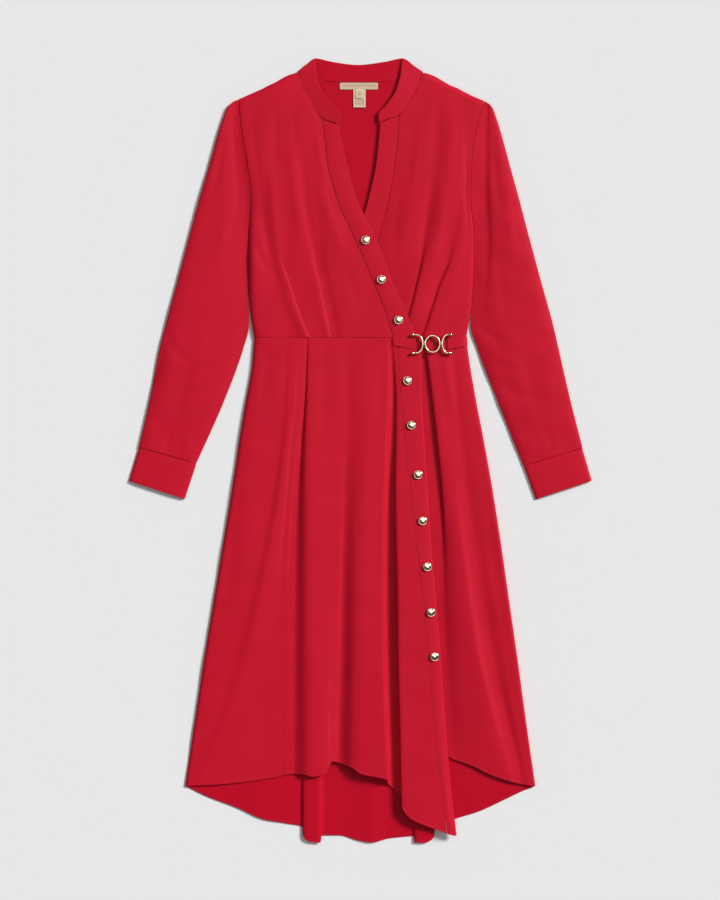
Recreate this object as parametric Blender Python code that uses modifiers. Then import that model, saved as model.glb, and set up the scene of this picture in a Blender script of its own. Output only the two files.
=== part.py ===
"""Red shirt dress laid flat on its back, front up, collar towards +Y.

Every cloth piece is a wall of one thickness on a lofted surface.  A piece is
described by a short table of its fold lines: each row names one line that runs
down the cloth, the ends of that line, and how far across (X) and how high (Z)
it lies at a few named levels (Y).  A smooth curve is drawn down each line and
then across from line to line.  Table sizes are in millimetres.
"""

import math
from collections import namedtuple

import bmesh
import bpy
import numpy as np
from mathutils import Matrix, Vector

MM = 0.001

# Driving dimensions, in millimetres.
CLOTH = 1.2               # thickness of one cloth wall
SEAM_GAP = 0.3            # gap between two pieces at a seam
FLOOR_LAYER = CLOTH / 2   # middle of the layer that rests on the floor
EDGE_LAYER = FLOOR_LAYER + CLOTH + SEAM_GAP   # middle of a layer resting on that one
WAIST_Y = 180.0           # waist seam
BUTTON_DIAMETER = 14.0
BUTTON_HEIGHT = 3.6
BUTTON_CLEARANCE = 0.6
CLASP_HEIGHT = 13.4       # middle of the clasp's rods above the floor
CLASP_ROD = 1.8           # radius of the clasp's rods
CLASP_BALL = 2.9          # radius of the ball at each hook's end
CLASP_BALL_PROFILE = ((1.2, 0.66), (2.2, 0.86), (4.0, 1.0), (5.8, 0.8), (6.8, 0.3))   # along, share of radius
CLASP_CENTRE_Y = 170.0
HOOK_HALF_HEIGHT = 14.6
RING_CENTRE_X = 115.3
RING_HALF_WIDTH = 11.6
RING_HALF_HEIGHT = 13.2
RING_POINTS = 20
BAND_COLUMNS = 5          # columns of a band's grid between its seam and its brim
LABEL_THICKNESS = 0.6
LABEL_LAYER = CLOTH + SEAM_GAP + LABEL_THICKNESS / 2

CLOTH_COLOUR = (0.55, 0.018, 0.036, 1.0)
METAL_COLOUR = (0.80, 0.66, 0.42, 1.0)
LABEL_COLOUR = (0.55, 0.42, 0.28, 1.0)

# One row of a table: the line's name, where it starts and ends along the
# length, and its place across and height at each of the table's levels.
Fold = namedtuple("Fold", "line top end across height")

SKIRT_LEVELS = (180, 20, -240, -430, -610)    # waist, hip, knee, shin, tip of the wrap
SKIRT_SIDE_LEFT = (-169.5, -194.5, -234.5, -265, -290)
SKIRT_SIDE_RIGHT = (168.5, 197, 236.3, 264.3, 290)
BODICE_LEVELS = (605, 520, 460, 400, 290, 180)    # neck, chest, mid-armhole, armpit, rib, waist
BODICE_SIDE_LEFT = (-196, -191.2, -180.8, -175.4, -178.6, -170)
BODICE_SIDE_RIGHT = (216, 186.4, 177.6, 176.3, 180.8, 169)

# Heights that several fold lines share, one for each level of their table.
FLAT = (FLOOR_LAYER,) * 6
EDGE = (EDGE_LAYER,) * 5
ARMHOLE_HEIGHTS = (2.4, 4.4, 5.0, 3.4, EDGE_LAYER, EDGE_LAYER)

SKIRT_WRAP = (
    Fold("side edge", 180, -537, SKIRT_SIDE_LEFT, EDGE),
    Fold("side roll", 180, -537, (-165, -190, -229.5, -259.5, -284), (5.6, 6.5, 6.5, 6.0, 4.5)),
    Fold("side panel", 180, -537, (-150, -172, -205, -240, -284), (7.0, 7.5, 8.0, 7.0, 4.6)),
    Fold("slant trough", 180, -537, (-111, -120.5, -158, -213, -280), (7.0, 6.2, 5.0, 4.5, 4.2)),
    Fold("slant step", 180, -536, (-106, -115.5, -152, -206, -274), (7.0, 9.4, 9.0, 7.5, 5.5)),
    Fold("left field", 180, -531, (-97, -109, -128.5, -148, -165), (7.2, 10.0, 9.5, 8.5, 8.0)),
    Fold("pleat brim", 180, -525, (-86, -104, -112, -117, -122), (7.8, 9.6, 8.0, 7.5, 7.0)),
    Fold("pleat edge", 180, -522, (-82, -99.5, -104, -108, -110), (6.8, 8.2, 6.0, 6.0, 6.0)),
    Fold("pleat tuck", 180, -520, (-82.5, -101.5, -99.5, -102, -104), (4.9, 5.4, 4.0, 4.0, 4.6)),
    Fold("pleat floor", 180, -518, (-79, -93.5, -94, -96, -98), (4.2, 2.8, 2.4, 2.4, 3.2)),
    Fold("first fold foot", 180, -518.5, (-75.5, -84, -88, -91, -94), (5.2, 5.0, 7.0, 7.5, 8.5)),
    Fold("first fold shoulder", 180, -521, (-71, -75, -81, -85, -89), (6.8, 9.0, 11.0, 12.0, 12.5)),
    Fold("first fold top", 180, -520.5, (-60, -61, -62, -64, -66), (7.2, 11.0, 14.0, 14.5, 14.5)),
    Fold("first fold right", 180, -512, (-45, -46, -49, -50.5, -50.5), (7.0, 10.5, 12.0, 13.0, 13.5)),
    Fold("first fold drop", 180, -500, (-38, -39, -43, -47.5, -48), (7.0, 9.6, 9.5, 8.5, 8.0)),
    Fold("second valley left", 180, -497, (-28, -28, -29, -33, -34), (7.0, 8.6, 6.5, 5.0, 4.5)),
    Fold("second valley", 180, -504, (-14, -14, -14, -13, -12), (7.0, 7.4, 4.4, 3.4, 3.2)),
    Fold("second fold left", 180, -514, (2, 2, 2, 1, -1), (7.0, 9.2, 9.5, 9.5, 9.5)),
    Fold("second fold top", 180, -522, (18, 21, 20, 23, 27), (7.0, 11.5, 15.0, 16.0, 16.0)),
    Fold("second fold edge", 180, -527, (43, 42.7, 34.7, 38, 48), (7.0, 10.0, 12.5, 13.0, 13.0)),
    Fold("second fold tuck", 180, -530, (45.5, 41.5, 31.5, 34.5, 44.5), (6.9, 6.8, 8.2, 8.6, 8.6)),
    Fold("third valley", 180, -540, (48, 52, 51, 52, 57), (6.8, 4.6, 2.5, 2.6, 3.0)),
    Fold("wrap tuck", 180, -560, (50, 57.5, 60.5, 64.5, 70), (6.8, 5.8, 7.5, 8.0, 8.0)),
    Fold("wrap edge", 180, -565.5, (51.8, 57.3, 58.8, 62.9, 68.5), (6.9, 8.6, 12.0, 13.0, 13.0)),
    Fold("wrap shoulder", 180, -581, (54.5, 63, 69, 74, 82), (7.0, 10.6, 15.5, 16.5, 15.0)),
    Fold("wrap seam", 180, -612.3, (58, 70, 98.5, 117.3, 138.3), (7.2, 11.5, 16.0, 15.5, 13.0)),
)

SKIRT_PLACKET = (
    Fold("band seam", 180, -612.5, (58.3, 70.3, 98.8, 117.6, 138.6), (7.2, 11.5, 16.0, 15.5, 13.0)),
    Fold("band middle", 180, -614.5, (77, 86, 110, 126, 145), (7.5, 12.0, 16.2, 15.4, 12.2)),
    Fold("band brim", 180, -615.5, (92, 97.5, 117, 131.5, 150), (7.4, 11.4, 14.6, 13.4, 10.0)),
    Fold("band edge", 180, -615.5, (97, 102.2, 121.1, 135.5, 153), (6.6, 9.4, 11.0, 9.6, 6.8)),
    Fold("band turn", 180, -611, (96.4, 99, 116, 130, 149), (5.2, 7.2, 8.2, 6.8, 4.4)),
)

SKIRT_UNDER = (
    Fold("hidden edge", 180, -482, (76, 88, 106, 116, 126), (2.6, 2.5, 2.5, 2.5, 2.6)),
    Fold("cavity floor", 180, -490, (94, 110, 127, 139, 146), (2.6, 2.5, 2.5, 2.8, 3.2)),
    Fold("pleat tuck", 180, -493, (103, 123.5, 137, 146, 158), (3.9, 4.6, 4.0, 4.0, 4.0)),
    Fold("pleat edge", 180, -496, (101.6, 121.9, 142, 152, 165), (5.6, 8.2, 6.0, 5.5, 5.5)),
    Fold("pleat brim", 180, -501, (105.5, 126.5, 150, 162, 180), (6.9, 10.8, 9.0, 8.0, 7.5)),
    Fold("slope", 180, -519, (111, 132, 163, 188, 215), (7.0, 12.0, 11.8, 10.2, 8.5)),
    Fold("crest", 180, -532, (118, 139, 178.7, 224, 281), (7.0, 12.6, 13.6, 12.0, 8.0)),
    Fold("crest drop", 180, -533, (124, 146, 186, 231, 282.5), (7.0, 11.0, 10.0, 8.6, 6.6)),
    Fold("side trough", 180, -534.6, (148, 169, 204.5, 245, 284), (6.6, 6.0, 4.8, 4.4, 4.4)),
    Fold("side panel", 180, -536, (159, 185, 222, 254, 286), (6.8, 7.6, 7.0, 6.0, 4.8)),
    Fold("side roll", 180, -537, (164, 192.5, 231.5, 259.5, 287), (5.6, 6.5, 6.5, 6.0, 4.5)),
    Fold("side edge", 180, -537, SKIRT_SIDE_RIGHT, EDGE),
)

# The back skirt's hem: where each line reaches it, and how high it lifts there.
HemPoint = namedtuple("HemPoint", "line across end lift")
BACK_HEM = (
    HemPoint("left corner", -280, -537, 0.0),
    HemPoint("left rise", -246, -553.5, 0.2),
    HemPoint("left curve", -199, -571, 0.8),
    HemPoint("left wave", -152, -591, 1.4),
    HemPoint("left hollow", -117, -597, 0.6),
    HemPoint("first lap foot", -92.8, -603, 0.0),
    HemPoint("first lap side", -91.2, -618, 3.4),
    HemPoint("first lap", -80, -626, 4.2),
    HemPoint("first lap end", -64, -627.5, 3.6),
    HemPoint("middle start", -62, -615.7, 1.2),
    HemPoint("middle left", -32, -616, 0.4),
    HemPoint("middle low", -4, -624, 1.0),
    HemPoint("middle wave", 17, -627, 2.4),
    HemPoint("middle fall", 47, -620.5, 0.2),
    HemPoint("second lap foot", 85, -617, 0.0),
    HemPoint("second lap side", 87, -627, 2.8),
    HemPoint("second lap", 102, -627.5, 3.6),
    HemPoint("second lap end", 117, -619.5, 2.6),
    HemPoint("right start", 119, -603, 0.4),
    HemPoint("right hollow", 150.5, -590, 0.0),
    HemPoint("right wave", 192, -576.5, 0.9),
    HemPoint("right curve", 226, -561, 0.5),
    HemPoint("right rise", 259.5, -545, 0.1),
    HemPoint("right corner", 279.6, -537, 0.0),
)
HEM_FOLD_TOP = -440       # the back's hem folds start to rise here
HEM_FOLD_FULL = -570      # and have their whole height here

BODICE_LEFT = (
    Fold("armhole and side", 562, 180.3, BODICE_SIDE_LEFT, ARMHOLE_HEIGHTS),
    Fold("side roll", 565, 180.3, (-190, -186, -176, -170.5, -173.5, -165), (3.4, 6.2, 6.6, 6.4, 6.8, 5.8)),
    Fold("side panel", 575, 180.3, (-166, -162, -158, -155, -155, -148), (4.0, 7.2, 7.8, 8.0, 8.0, 7.0)),
    Fold("outer lip brim", 586.5, 180.3, (-143, -138, -134, -130, -126, -89), (4.4, 7.4, 7.9, 8.0, 8.8, 7.8)),
    Fold("outer lip edge", 589, 180.3, (-137, -132, -128, -124, -119.7, -83), (4.4, 7.4, 7.8, 7.6, 7.8, 7.2)),
    Fold("outer lip foot", 591, 180.3, (-133, -128, -124, -119, -117.8, -81.3), (4.4, 7.3, 7.6, 7.0, 5.4, 6.0)),
    Fold("between lips", 597, 180.3, (-119, -114, -110, -105, -96, -66), (4.4, 7.4, 7.9, 8.2, 7.6, 7.0)),
    Fold("inner lip brim", 603.5, 180.3, (-104, -99, -94, -88, -77.5, -53.5), (4.4, 7.4, 8.0, 8.4, 9.0, 7.8)),
    Fold("inner lip edge", 600, 180.3, (-102, -93, -88, -82, -71.7, -47.7), (4.4, 7.3, 7.9, 8.0, 8.0, 7.2)),
    Fold("inner lip foot", 590, 180.3, (-98.2, -89, -84, -78, -69.8, -46), (4.4, 7.2, 7.8, 7.6, 5.6, 6.0)),
    Fold("front field", 564, 180.3, (-91.8, -80.5, -75, -66, -50, -26), (4.4, 6.4, 7.6, 8.0, 7.7, 7.0)),
    Fold("beside the band", 543, 180.3, (-84.5, -70, -64, -52, -20, 14), (4.4, 6.0, 7.0, 7.6, 7.6, 7.2)),
    Fold("band seam", 529, 180.3, (-70.7, -59.7, -53.2, -36.7, 11.3, 52.1), (4.4, 5.6, 6.4, 7.2, 7.6, 7.4)),
)

BODICE_PLACKET = (
    Fold("band seam", 529, 180.3, (-70, -59, -52.5, -36, 12, 52.8), (4.4, 5.6, 6.4, 7.2, 7.6, 7.4)),
    Fold("band middle", 523, 180.3, (-54, -46, -37, -20, 28.5, 71.5), (4.8, 6.2, 6.8, 7.6, 8.0, 7.6)),
    Fold("band edge", 520, 180.3, (-38, -32.8, -21.4, -4.2, 44.5, 90), (4.6, 6.0, 6.4, 7.0, 7.4, 7.4)),
)

FACING = (
    Fold("free edge", 523, 180.3, (37, 31.6, 25.7, 12.7, -12, 20), (4.6, 5.0, 4.4, 3.4, 2.6, 2.6)),
    Fold("facing middle", 529, 180.3, (51, 47, 41, 29, 5, 33), (5.4, 5.8, 5.2, 4.0, 2.8, 2.8)),
    Fold("facing seam", 534, 180.3, (64, 61.2, 55.7, 45.2, 21.7, 45.7), (5.6, 5.8, 5.4, 4.4, 3.0, 2.8)),
)

BODICE_RIGHT = (
    Fold("facing seam", 534, 180.3, (64.3, 61.5, 56, 45.5, 22, 46), (5.6, 5.8, 5.4, 4.4, 3.0, 2.8)),
    Fold("under the band", 553, 180.3, (80, 74, 67, 59, 48, 84), (5.4, 6.2, 6.4, 5.8, 4.8, 4.6)),
    Fold("below the collar", 576, 180.3, (92.3, 84.5, 78, 70, 59, 85.6), (4.4, 6.5, 6.8, 6.6, 5.8, 4.7)),
    Fold("front field", 604, 180.3, (100.8, 96.5, 91, 82, 71, 87.4), (4.4, 6.8, 7.2, 7.2, 6.8, 4.8)),
    Fold("inner lip foot", 588.5, 180.3, (133, 125, 119, 111, 92.8, 90.2), (4.4, 7.2, 7.4, 7.0, 5.4, 5.0)),
    Fold("inner lip edge", 587.5, 180.3, (135.5, 128, 122.5, 114, 95.2, 92), (4.4, 7.3, 7.7, 7.4, 7.8, 5.6)),
    Fold("inner lip brim", 586, 180.3, (138.5, 133, 128, 120, 101, 95.5), (4.4, 7.4, 7.9, 8.2, 8.8, 6.4)),
    Fold("between lips", 584, 180.3, (143, 138, 134, 129, 118, 99), (4.4, 7.4, 7.9, 8.2, 7.8, 6.4)),
    Fold("outer lip foot", 580.5, 180.3, (150, 146, 142, 140, 137, 101.6), (4.4, 7.3, 7.8, 7.9, 5.6, 5.9)),
    Fold("outer lip edge", 579.5, 180.3, (152.5, 149, 145, 143, 139.5, 103.4), (4.4, 7.3, 7.8, 8.0, 8.0, 7.0)),
    Fold("outer lip brim", 577, 180.3, (157, 153, 150, 148, 145.5, 109), (4.4, 7.2, 7.8, 8.1, 8.8, 7.4)),
    Fold("side panel", 568, 180.3, (186, 170, 164, 161, 163, 150), (3.8, 6.8, 7.4, 7.9, 8.0, 7.0)),
    Fold("side roll", 560, 180.3, (206, 180.5, 172.5, 171.3, 175.5, 164), (3.2, 6.0, 6.6, 6.4, 6.8, 5.8)),
    Fold("armhole and side", 555, 180.3, BODICE_SIDE_RIGHT, ARMHOLE_HEIGHTS),
)

BACK_NECK = (
    Fold("left side", 562, 180.3, BODICE_SIDE_LEFT, FLAT),
    Fold("left shoulder", 583, 180.3, (-148, -143, -140, -137, -135, -130), FLAT),
    Fold("left neck point", 603.5, 180.3, (-101, -98, -96, -94, -90, -88), FLAT),
    Fold("left neck", 593.8, 180.3, (-68, -67, -66, -64, -60, -58), FLAT),
    Fold("nape left", 588.5, 180.3, (-33, -33, -32, -31, -30, -29), FLAT),
    Fold("nape right", 588.5, 180.3, (28, 28, 28, 28, 28, 28), FLAT),
    Fold("right neck", 592, 180.3, (62, 62, 61, 60, 58, 57), FLAT),
    Fold("right neck point", 604, 180.3, (98.5, 96, 94, 92, 90, 88), FLAT),
    Fold("right shoulder", 581, 180.3, (151, 145, 142, 139, 137, 130), FLAT),
    Fold("right side", 555, 180.3, BODICE_SIDE_RIGHT, FLAT),
)

COLLAR_LEVELS = (628, 605, 575, 550, 538, 520)
COLLAR_LEFT = (
    Fold("collar seam", 605.3, 529.4, (-106, -100, -90, -78.7, -68.2, -50), (2.6, 2.6, 5.0, 5.4, 5.6, 5.8)),
    Fold("collar middle", 616.5, 526, (-90, -84.5, -76, -59.5, -49, -41), (2.6, 5.0, 6.8, 7.2, 7.2, 7.0)),
    Fold("collar edge", 627.4, 521, (-71, -70.5, -62.4, -40.5, -31, -32), (2.6, 6.2, 7.8, 8.4, 8.2, 7.4)),
)
COLLAR_RIGHT = (
    Fold("collar edge", 627.4, 523.6, (67, 65, 57, 39.5, 29, 30.7), (2.6, 6.2, 7.8, 8.0, 7.6, 7.0)),
    Fold("collar middle", 617, 529.4, (84, 81, 71.5, 56, 46.5, 40), (2.6, 5.0, 6.8, 7.2, 7.2, 7.0)),
    Fold("collar seam", 605.3, 534.4, (103, 98, 86.7, 73, 63.4, 48), (2.6, 2.6, 5.0, 5.6, 6.0, 6.0)),
)
COLLAR_BACK_LEVELS = (622, 592)
COLLAR_BACK = (
    Fold("left turn", 612.5, 602.5, (-91, -91), FLAT[:2]),
    Fold("left fold", 627, 595.5, (-71.5, -71.5), FLAT[:2]),
    Fold("left rise", 621.6, 591.2, (-45, -45), FLAT[:2]),
    Fold("nape", 616.6, 589.3, (-4, -4), FLAT[:2]),
    Fold("right rise", 621.8, 591.2, (40, 40), FLAT[:2]),
    Fold("right fold", 627, 594.5, (67, 67), FLAT[:2]),
    Fold("right turn", 611, 603, (91, 91), FLAT[:2]),
)

# Sleeves: top layer from the armhole over the outer edge, then the layer below.
SLEEVE_LEVELS = (605, 520, 460, 400, 290, 200, 165, 80, -20)
ARMHOLE_GAP = 1.2         # between the bodice's side and the sleeve beside it
LEFT_INNER = tuple(x - ARMHOLE_GAP for x in BODICE_SIDE_LEFT[:5]) + (-178.2, -186.5, -217.5, -262)
LEFT_OUTER = (-190, -222.9, -240, -257.5, -287, -311, -320, -336.5, -361.8)
RIGHT_INNER = tuple(x + ARMHOLE_GAP for x in BODICE_SIDE_RIGHT[:5]) + (176.6, 186.6, 219, 258.7)
RIGHT_OUTER = (190, 220.8, 237.4, 253.9, 283, 308, 316, 335.5, 361.1)
SLEEVE_SEAM = (3.0, 4.6, 5.0, 3.6) + EDGE
SLEEVE_DIP = (4.4, 5.4, 5.6, 5.2, 5.0, 5.0, 5.4, 5.6, 5.0)
SLEEVE_BULGE = (4.6, 6.4, 7.4, 8.2, 8.4, 8.2, 8.0, 7.4, 6.4)
SLEEVE_TURN = (3.0, 3.2, 3.6, 3.6, 3.6, 3.6, 3.6, 3.4, 3.2)

# Cuffs: the four corners and the height in the middle.
CUFF_HEIGHT = 4.6
LEFT_CUFF = {"outer": ((-354, 3.6), (-370, -49)), "inner": ((-262.6, -22.6), (-281, -78))}
RIGHT_CUFF = {"outer": ((355.2, 2.3), (370, -48.4)), "inner": ((261.6, -26.0), (280.8, -78.2))}

# Waist tabs that the clasp joins.
TAB_LEVELS = (182, 161)
TAB_LEFT = (
    Fold("sewn end", 181.8, 167.4, (51.6, 52.6), (9.4, 9.4)),
    Fold("stitch line", 181.4, 166, (59, 60), (9.6, 9.6)),
    Fold("tab middle", 180.9, 163.5, (74, 74), (9.4, 9.4)),
    Fold("clasp end", 180.2, 161.2, (89, 89), (9.4, 9.4)),
)
TAB_RIGHT = (
    Fold("clasp end", 181.2, 161.4, (139, 139), (9.4, 9.4)),
    Fold("tab middle", 181.5, 163.5, (152, 152), (9.4, 9.4)),
    Fold("tab turn", 181.8, 165.6, (165, 165), (8.4, 8.8)),
    Fold("side end", 181.8, 166.4, (170.6, 171.6), (4.6, 4.6)),
)

# Centres of the buttons on the two bands, across and along.
BUTTONS_BODICE = ((8.6, 336.2), (33.6, 273), (61.1, 208.3))
BUTTONS_SKIRT = ((75.4, 111.4), (81.6, 40.2), (92.2, -38.9), (99.5, -112.5),
                 (106.9, -185.8), (112.8, -258.6), (118.3, -329.3))


def through(levels, values, at):
    """A smooth curve through the values at the levels, which never swings past
    them: cubic between two levels, with slopes that are harmonic means, and
    straight beyond the ends."""
    levels = np.asarray(levels, float)
    values = np.asarray(values, float)
    if levels[0] > levels[-1]:
        levels = levels[::-1]
        values = values[::-1]
    gaps = np.diff(levels)
    rises = np.diff(values) / gaps
    slopes = np.empty_like(values)
    slopes[0] = rises[0]
    slopes[-1] = rises[-1]
    product = rises[:-1] * rises[1:]
    total = rises[:-1] + rises[1:]
    safe = np.where(product > 0, total, 1.0)
    slopes[1:-1] = np.where(product > 0, 2 * product / safe, 0.0)
    inside = np.clip(at, levels[0], levels[-1])
    left = np.clip(np.searchsorted(levels, inside, side="right") - 1, 0, len(gaps) - 1)
    t = (inside - levels[left]) / gaps[left]
    curve = (values[left] * (1 + 2 * t) * (1 - t) ** 2
             + slopes[left] * gaps[left] * t * (1 - t) ** 2
             + values[left + 1] * t * t * (3 - 2 * t)
             + slopes[left + 1] * gaps[left] * t * t * (t - 1))
    beyond = at - inside
    return curve + beyond * np.where(beyond > 0, slopes[-1], slopes[0])


def across_lines(lines, steps):
    """Smooth sections through the fold lines.  lines is (line, row, xyz); each
    gap between two lines gets the given number of steps."""
    spans = np.linalg.norm(np.diff(lines, axis=0), axis=2, keepdims=True)
    spans = np.maximum(spans, 1e-6)
    rises = np.diff(lines, axis=0) / spans
    slopes = np.empty_like(lines)
    slopes[0] = rises[0]
    slopes[-1] = rises[-1]
    product = rises[:-1] * rises[1:]
    weight_left = 2 * spans[1:] + spans[:-1]
    weight_right = spans[1:] + 2 * spans[:-1]
    total = weight_left * rises[1:] + weight_right * rises[:-1]
    safe = np.where(product > 0, total, 1.0)
    slopes[1:-1] = np.where(product > 0, 3 * product * (spans[1:] + spans[:-1]) / safe, 0.0)
    pieces = []
    for gap in range(len(lines) - 1):
        count = steps[gap] if isinstance(steps, (list, tuple)) else steps
        last = gap == len(lines) - 2
        t = np.linspace(0, 1, count + 1)[: count + 1 if last else count, None, None]
        pieces.append(lines[gap] * (1 + 2 * t) * (1 - t) ** 2
                      + slopes[gap] * spans[gap] * t * (1 - t) ** 2
                      + lines[gap + 1] * t * t * (3 - 2 * t)
                      + slopes[gap + 1] * spans[gap] * t * t * (t - 1))
    return np.concatenate(pieces)


def fold_lines(folds, levels, rows):
    """The fold lines of a table as points: (line, row, xyz) in millimetres."""
    lines = []
    for fold in folds:
        y = fold.top + np.asarray(rows) * (fold.end - fold.top)
        x = through(levels, fold.across, y)
        z = through(levels, fold.height, y)
        lines.append(np.stack([x, y, z], axis=1))
    return np.array(lines)


def even_rows(count):
    """Rows evenly down a piece, from 0 at its top to 1 at its end."""
    return np.linspace(0, 1, count)


def shoulder_rows(count, first=0.018):
    """Rows down a bodice piece, with a close one just below the shoulder."""
    return np.concatenate([[0.0, first], np.linspace(first, 1, count)[1:]])


def collection(name):
    """A collection of the scene with the given name."""
    found = bpy.data.collections.get(name)
    if found is None:
        found = bpy.data.collections.new(name)
        bpy.context.scene.collection.children.link(found)
    return found


def material(name, colour, roughness, metallic=0.0):
    """A Principled material."""
    made = bpy.data.materials.get(name)
    if made is None:
        made = bpy.data.materials.new(name)
        made.use_nodes = True
        shader = made.node_tree.nodes["Principled BSDF"]
        shader.inputs["Base Color"].default_value = colour
        shader.inputs["Roughness"].default_value = roughness
        shader.inputs["Metallic"].default_value = metallic
    return made


def cloth_material():
    return material("red_crepe", CLOTH_COLOUR, 0.75)


def metal_material():
    return material("pale_gold_metal", METAL_COLOUR, 0.22, 1.0)


def label_material():
    return material("woven_label", LABEL_COLOUR, 0.85)


def add_object(name, mesh, surface):
    """An object in the dress's collection, with one material."""
    made = bpy.data.objects.new(name, mesh)
    made.data.materials.append(surface)
    collection("shirt_dress").objects.link(made)
    return made


def wall(name, grid):
    """A cloth wall: the grid of points (column, row, xyz), thickened evenly to
    both sides."""
    columns, rows = grid.shape[:2]
    index = np.arange(columns * rows).reshape(columns, rows)
    faces = np.stack([index[:-1, :-1], index[:-1, 1:], index[1:, 1:], index[1:, :-1]], axis=-1)
    mesh = bpy.data.meshes.new(name)
    mesh.from_pydata((grid * MM).reshape(-1, 3).tolist(), [], faces.reshape(-1, 4).tolist())
    mesh.update()
    made = add_object(name, mesh, cloth_material())
    solidify = made.modifiers.new("wall", "SOLIDIFY")
    solidify.thickness = CLOTH * MM
    solidify.offset = 0.0
    mesh.shade_smooth()


def table_wall(name, folds, levels, rows, steps, shoulder=False):
    """A cloth wall from a table of fold lines.  On a bodice piece the shoulder
    edge turns down to the layer on the floor."""
    lines = fold_lines(folds, levels, rows)
    if shoulder:
        lines[:, 0, 2] = np.minimum(lines[:, 0, 2], EDGE_LAYER)
    grid = across_lines(lines, steps)
    wall(name, grid)
    return grid


def back_skirt_grid():
    """The back skirt: fan-shaped lines from waist to hem, flat on the floor,
    with the laps of its hem lifting towards the end."""
    rows = np.concatenate([[0.0, 0.25, 0.5], np.linspace(0.68, 1, 9)])
    lines = []
    for point in BACK_HEM:
        share = (point.across + 280) / (279.6 + 280)
        y = (WAIST_Y - SEAM_GAP) + rows * (point.end - WAIST_Y + SEAM_GAP)
        left = through(SKIRT_LEVELS, SKIRT_SIDE_LEFT, np.maximum(y, -537))
        right = through(SKIRT_LEVELS, SKIRT_SIDE_RIGHT, np.maximum(y, -537))
        rise = np.clip((HEM_FOLD_TOP - y) / (HEM_FOLD_TOP - HEM_FOLD_FULL), 0, 1)
        z = FLOOR_LAYER + point.lift * rise * rise * (3 - 2 * rise)
        lines.append(np.stack([left + share * (right - left), y, z], axis=1))
    return across_lines(np.array(lines), 1)


def sleeve_lines(inner, outer, ends):
    """The lines round a flattened sleeve, from the armhole and underarm edge of
    the top layer, over the outer edge, back to that edge in the layer below."""
    inner = np.array(inner)
    outer = np.array(outer)
    top_inner, top_outer, end_inner, end_outer = ends
    floor = (FLOOR_LAYER,) * len(SLEEVE_LEVELS)

    def line(name, share, height):
        top = top_inner + share * (top_outer - top_inner)
        end = end_inner + share * (end_outer - end_inner)
        return Fold(name, top, end, tuple(inner + share * (outer - inner)), height)

    return (
        line("seam", 0.0, SLEEVE_SEAM),
        line("dip", 0.10, SLEEVE_DIP),
        line("inner rise", 0.26, tuple(0.5 * np.array(SLEEVE_DIP) + 0.5 * np.array(SLEEVE_BULGE))),
        line("top", 0.55, SLEEVE_BULGE),
        line("outer slope", 0.85, tuple(0.86 * np.array(SLEEVE_BULGE))),
        line("outer brim", 0.965, tuple(0.68 * np.array(SLEEVE_BULGE))),
        line("outer edge", 1.0, SLEEVE_TURN),
        line("outer turn", 0.97, floor),
        line("below outer", 0.75, floor),
        line("below inner", 0.3, floor),
        line("below seam", 0.0, floor),
    )


def sleeve(name, inner, outer, ends):
    """One long sleeve as a flattened tube, open at the armhole and the wrist."""
    rows = np.array([0.0, 0.03, 0.09, 0.17, 0.27, 0.36, 0.46, 0.58, 0.72, 0.86, 1.0])
    lines = fold_lines(sleeve_lines(inner, outer, ends), SLEEVE_LEVELS, rows)
    grid = across_lines(lines, (2, 1, 1, 1, 1, 2, 2, 1, 1, 1))
    wall(name, grid)


def cuff(name, corners):
    """One cuff as a flattened ring: a rounded upper layer over a flat one."""
    (outer_top, outer_end), (inner_top, inner_end) = corners["outer"], corners["inner"]
    rows = even_rows(4)[:, None]
    outer = np.array(outer_top) + rows * (np.array(outer_end) - np.array(outer_top))
    inner = np.array(inner_top) + rows * (np.array(inner_end) - np.array(inner_top))
    section = (
        (0.0, EDGE_LAYER), (0.05, 3.8), (0.35, CUFF_HEIGHT), (0.7, CUFF_HEIGHT), (0.95, 4.0),
        (0.995, 2.3), (0.955, FLOOR_LAYER), (0.5, FLOOR_LAYER), (0.0, FLOOR_LAYER),
    )
    lines = []
    for share, height in section:
        flat = inner + share * (outer - inner)
        lines.append(np.column_stack([flat, np.full(len(flat), height)]))
    wall(name, across_lines(np.array(lines), (2, 1, 1, 1, 2, 2, 1, 1)))


def surface_frame(grid, x, y):
    """The point of a band's surface at (x, y) and its upward normal there.  Only
    the band's upper columns count, from its seam to its brim."""
    grid = grid[:BAND_COLUMNS]
    distance = (grid[..., 0] - x) ** 2 + (grid[..., 1] - y) ** 2
    column, row = np.unravel_index(np.argmin(distance), distance.shape)
    column = min(max(column, 1), grid.shape[0] - 2)
    row = min(max(row, 1), grid.shape[1] - 2)
    across = Vector(grid[column + 1, row] - grid[column - 1, row])
    along = Vector(grid[column, row - 1] - grid[column, row + 1])
    normal = across.cross(along).normalized()
    if normal.z < 0:
        normal = -normal
    base = Vector(grid[column, row])
    height = base.z - (normal.x * (x - base.x) + normal.y * (y - base.y)) / normal.z
    return Vector((x, y, height)), normal


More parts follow.
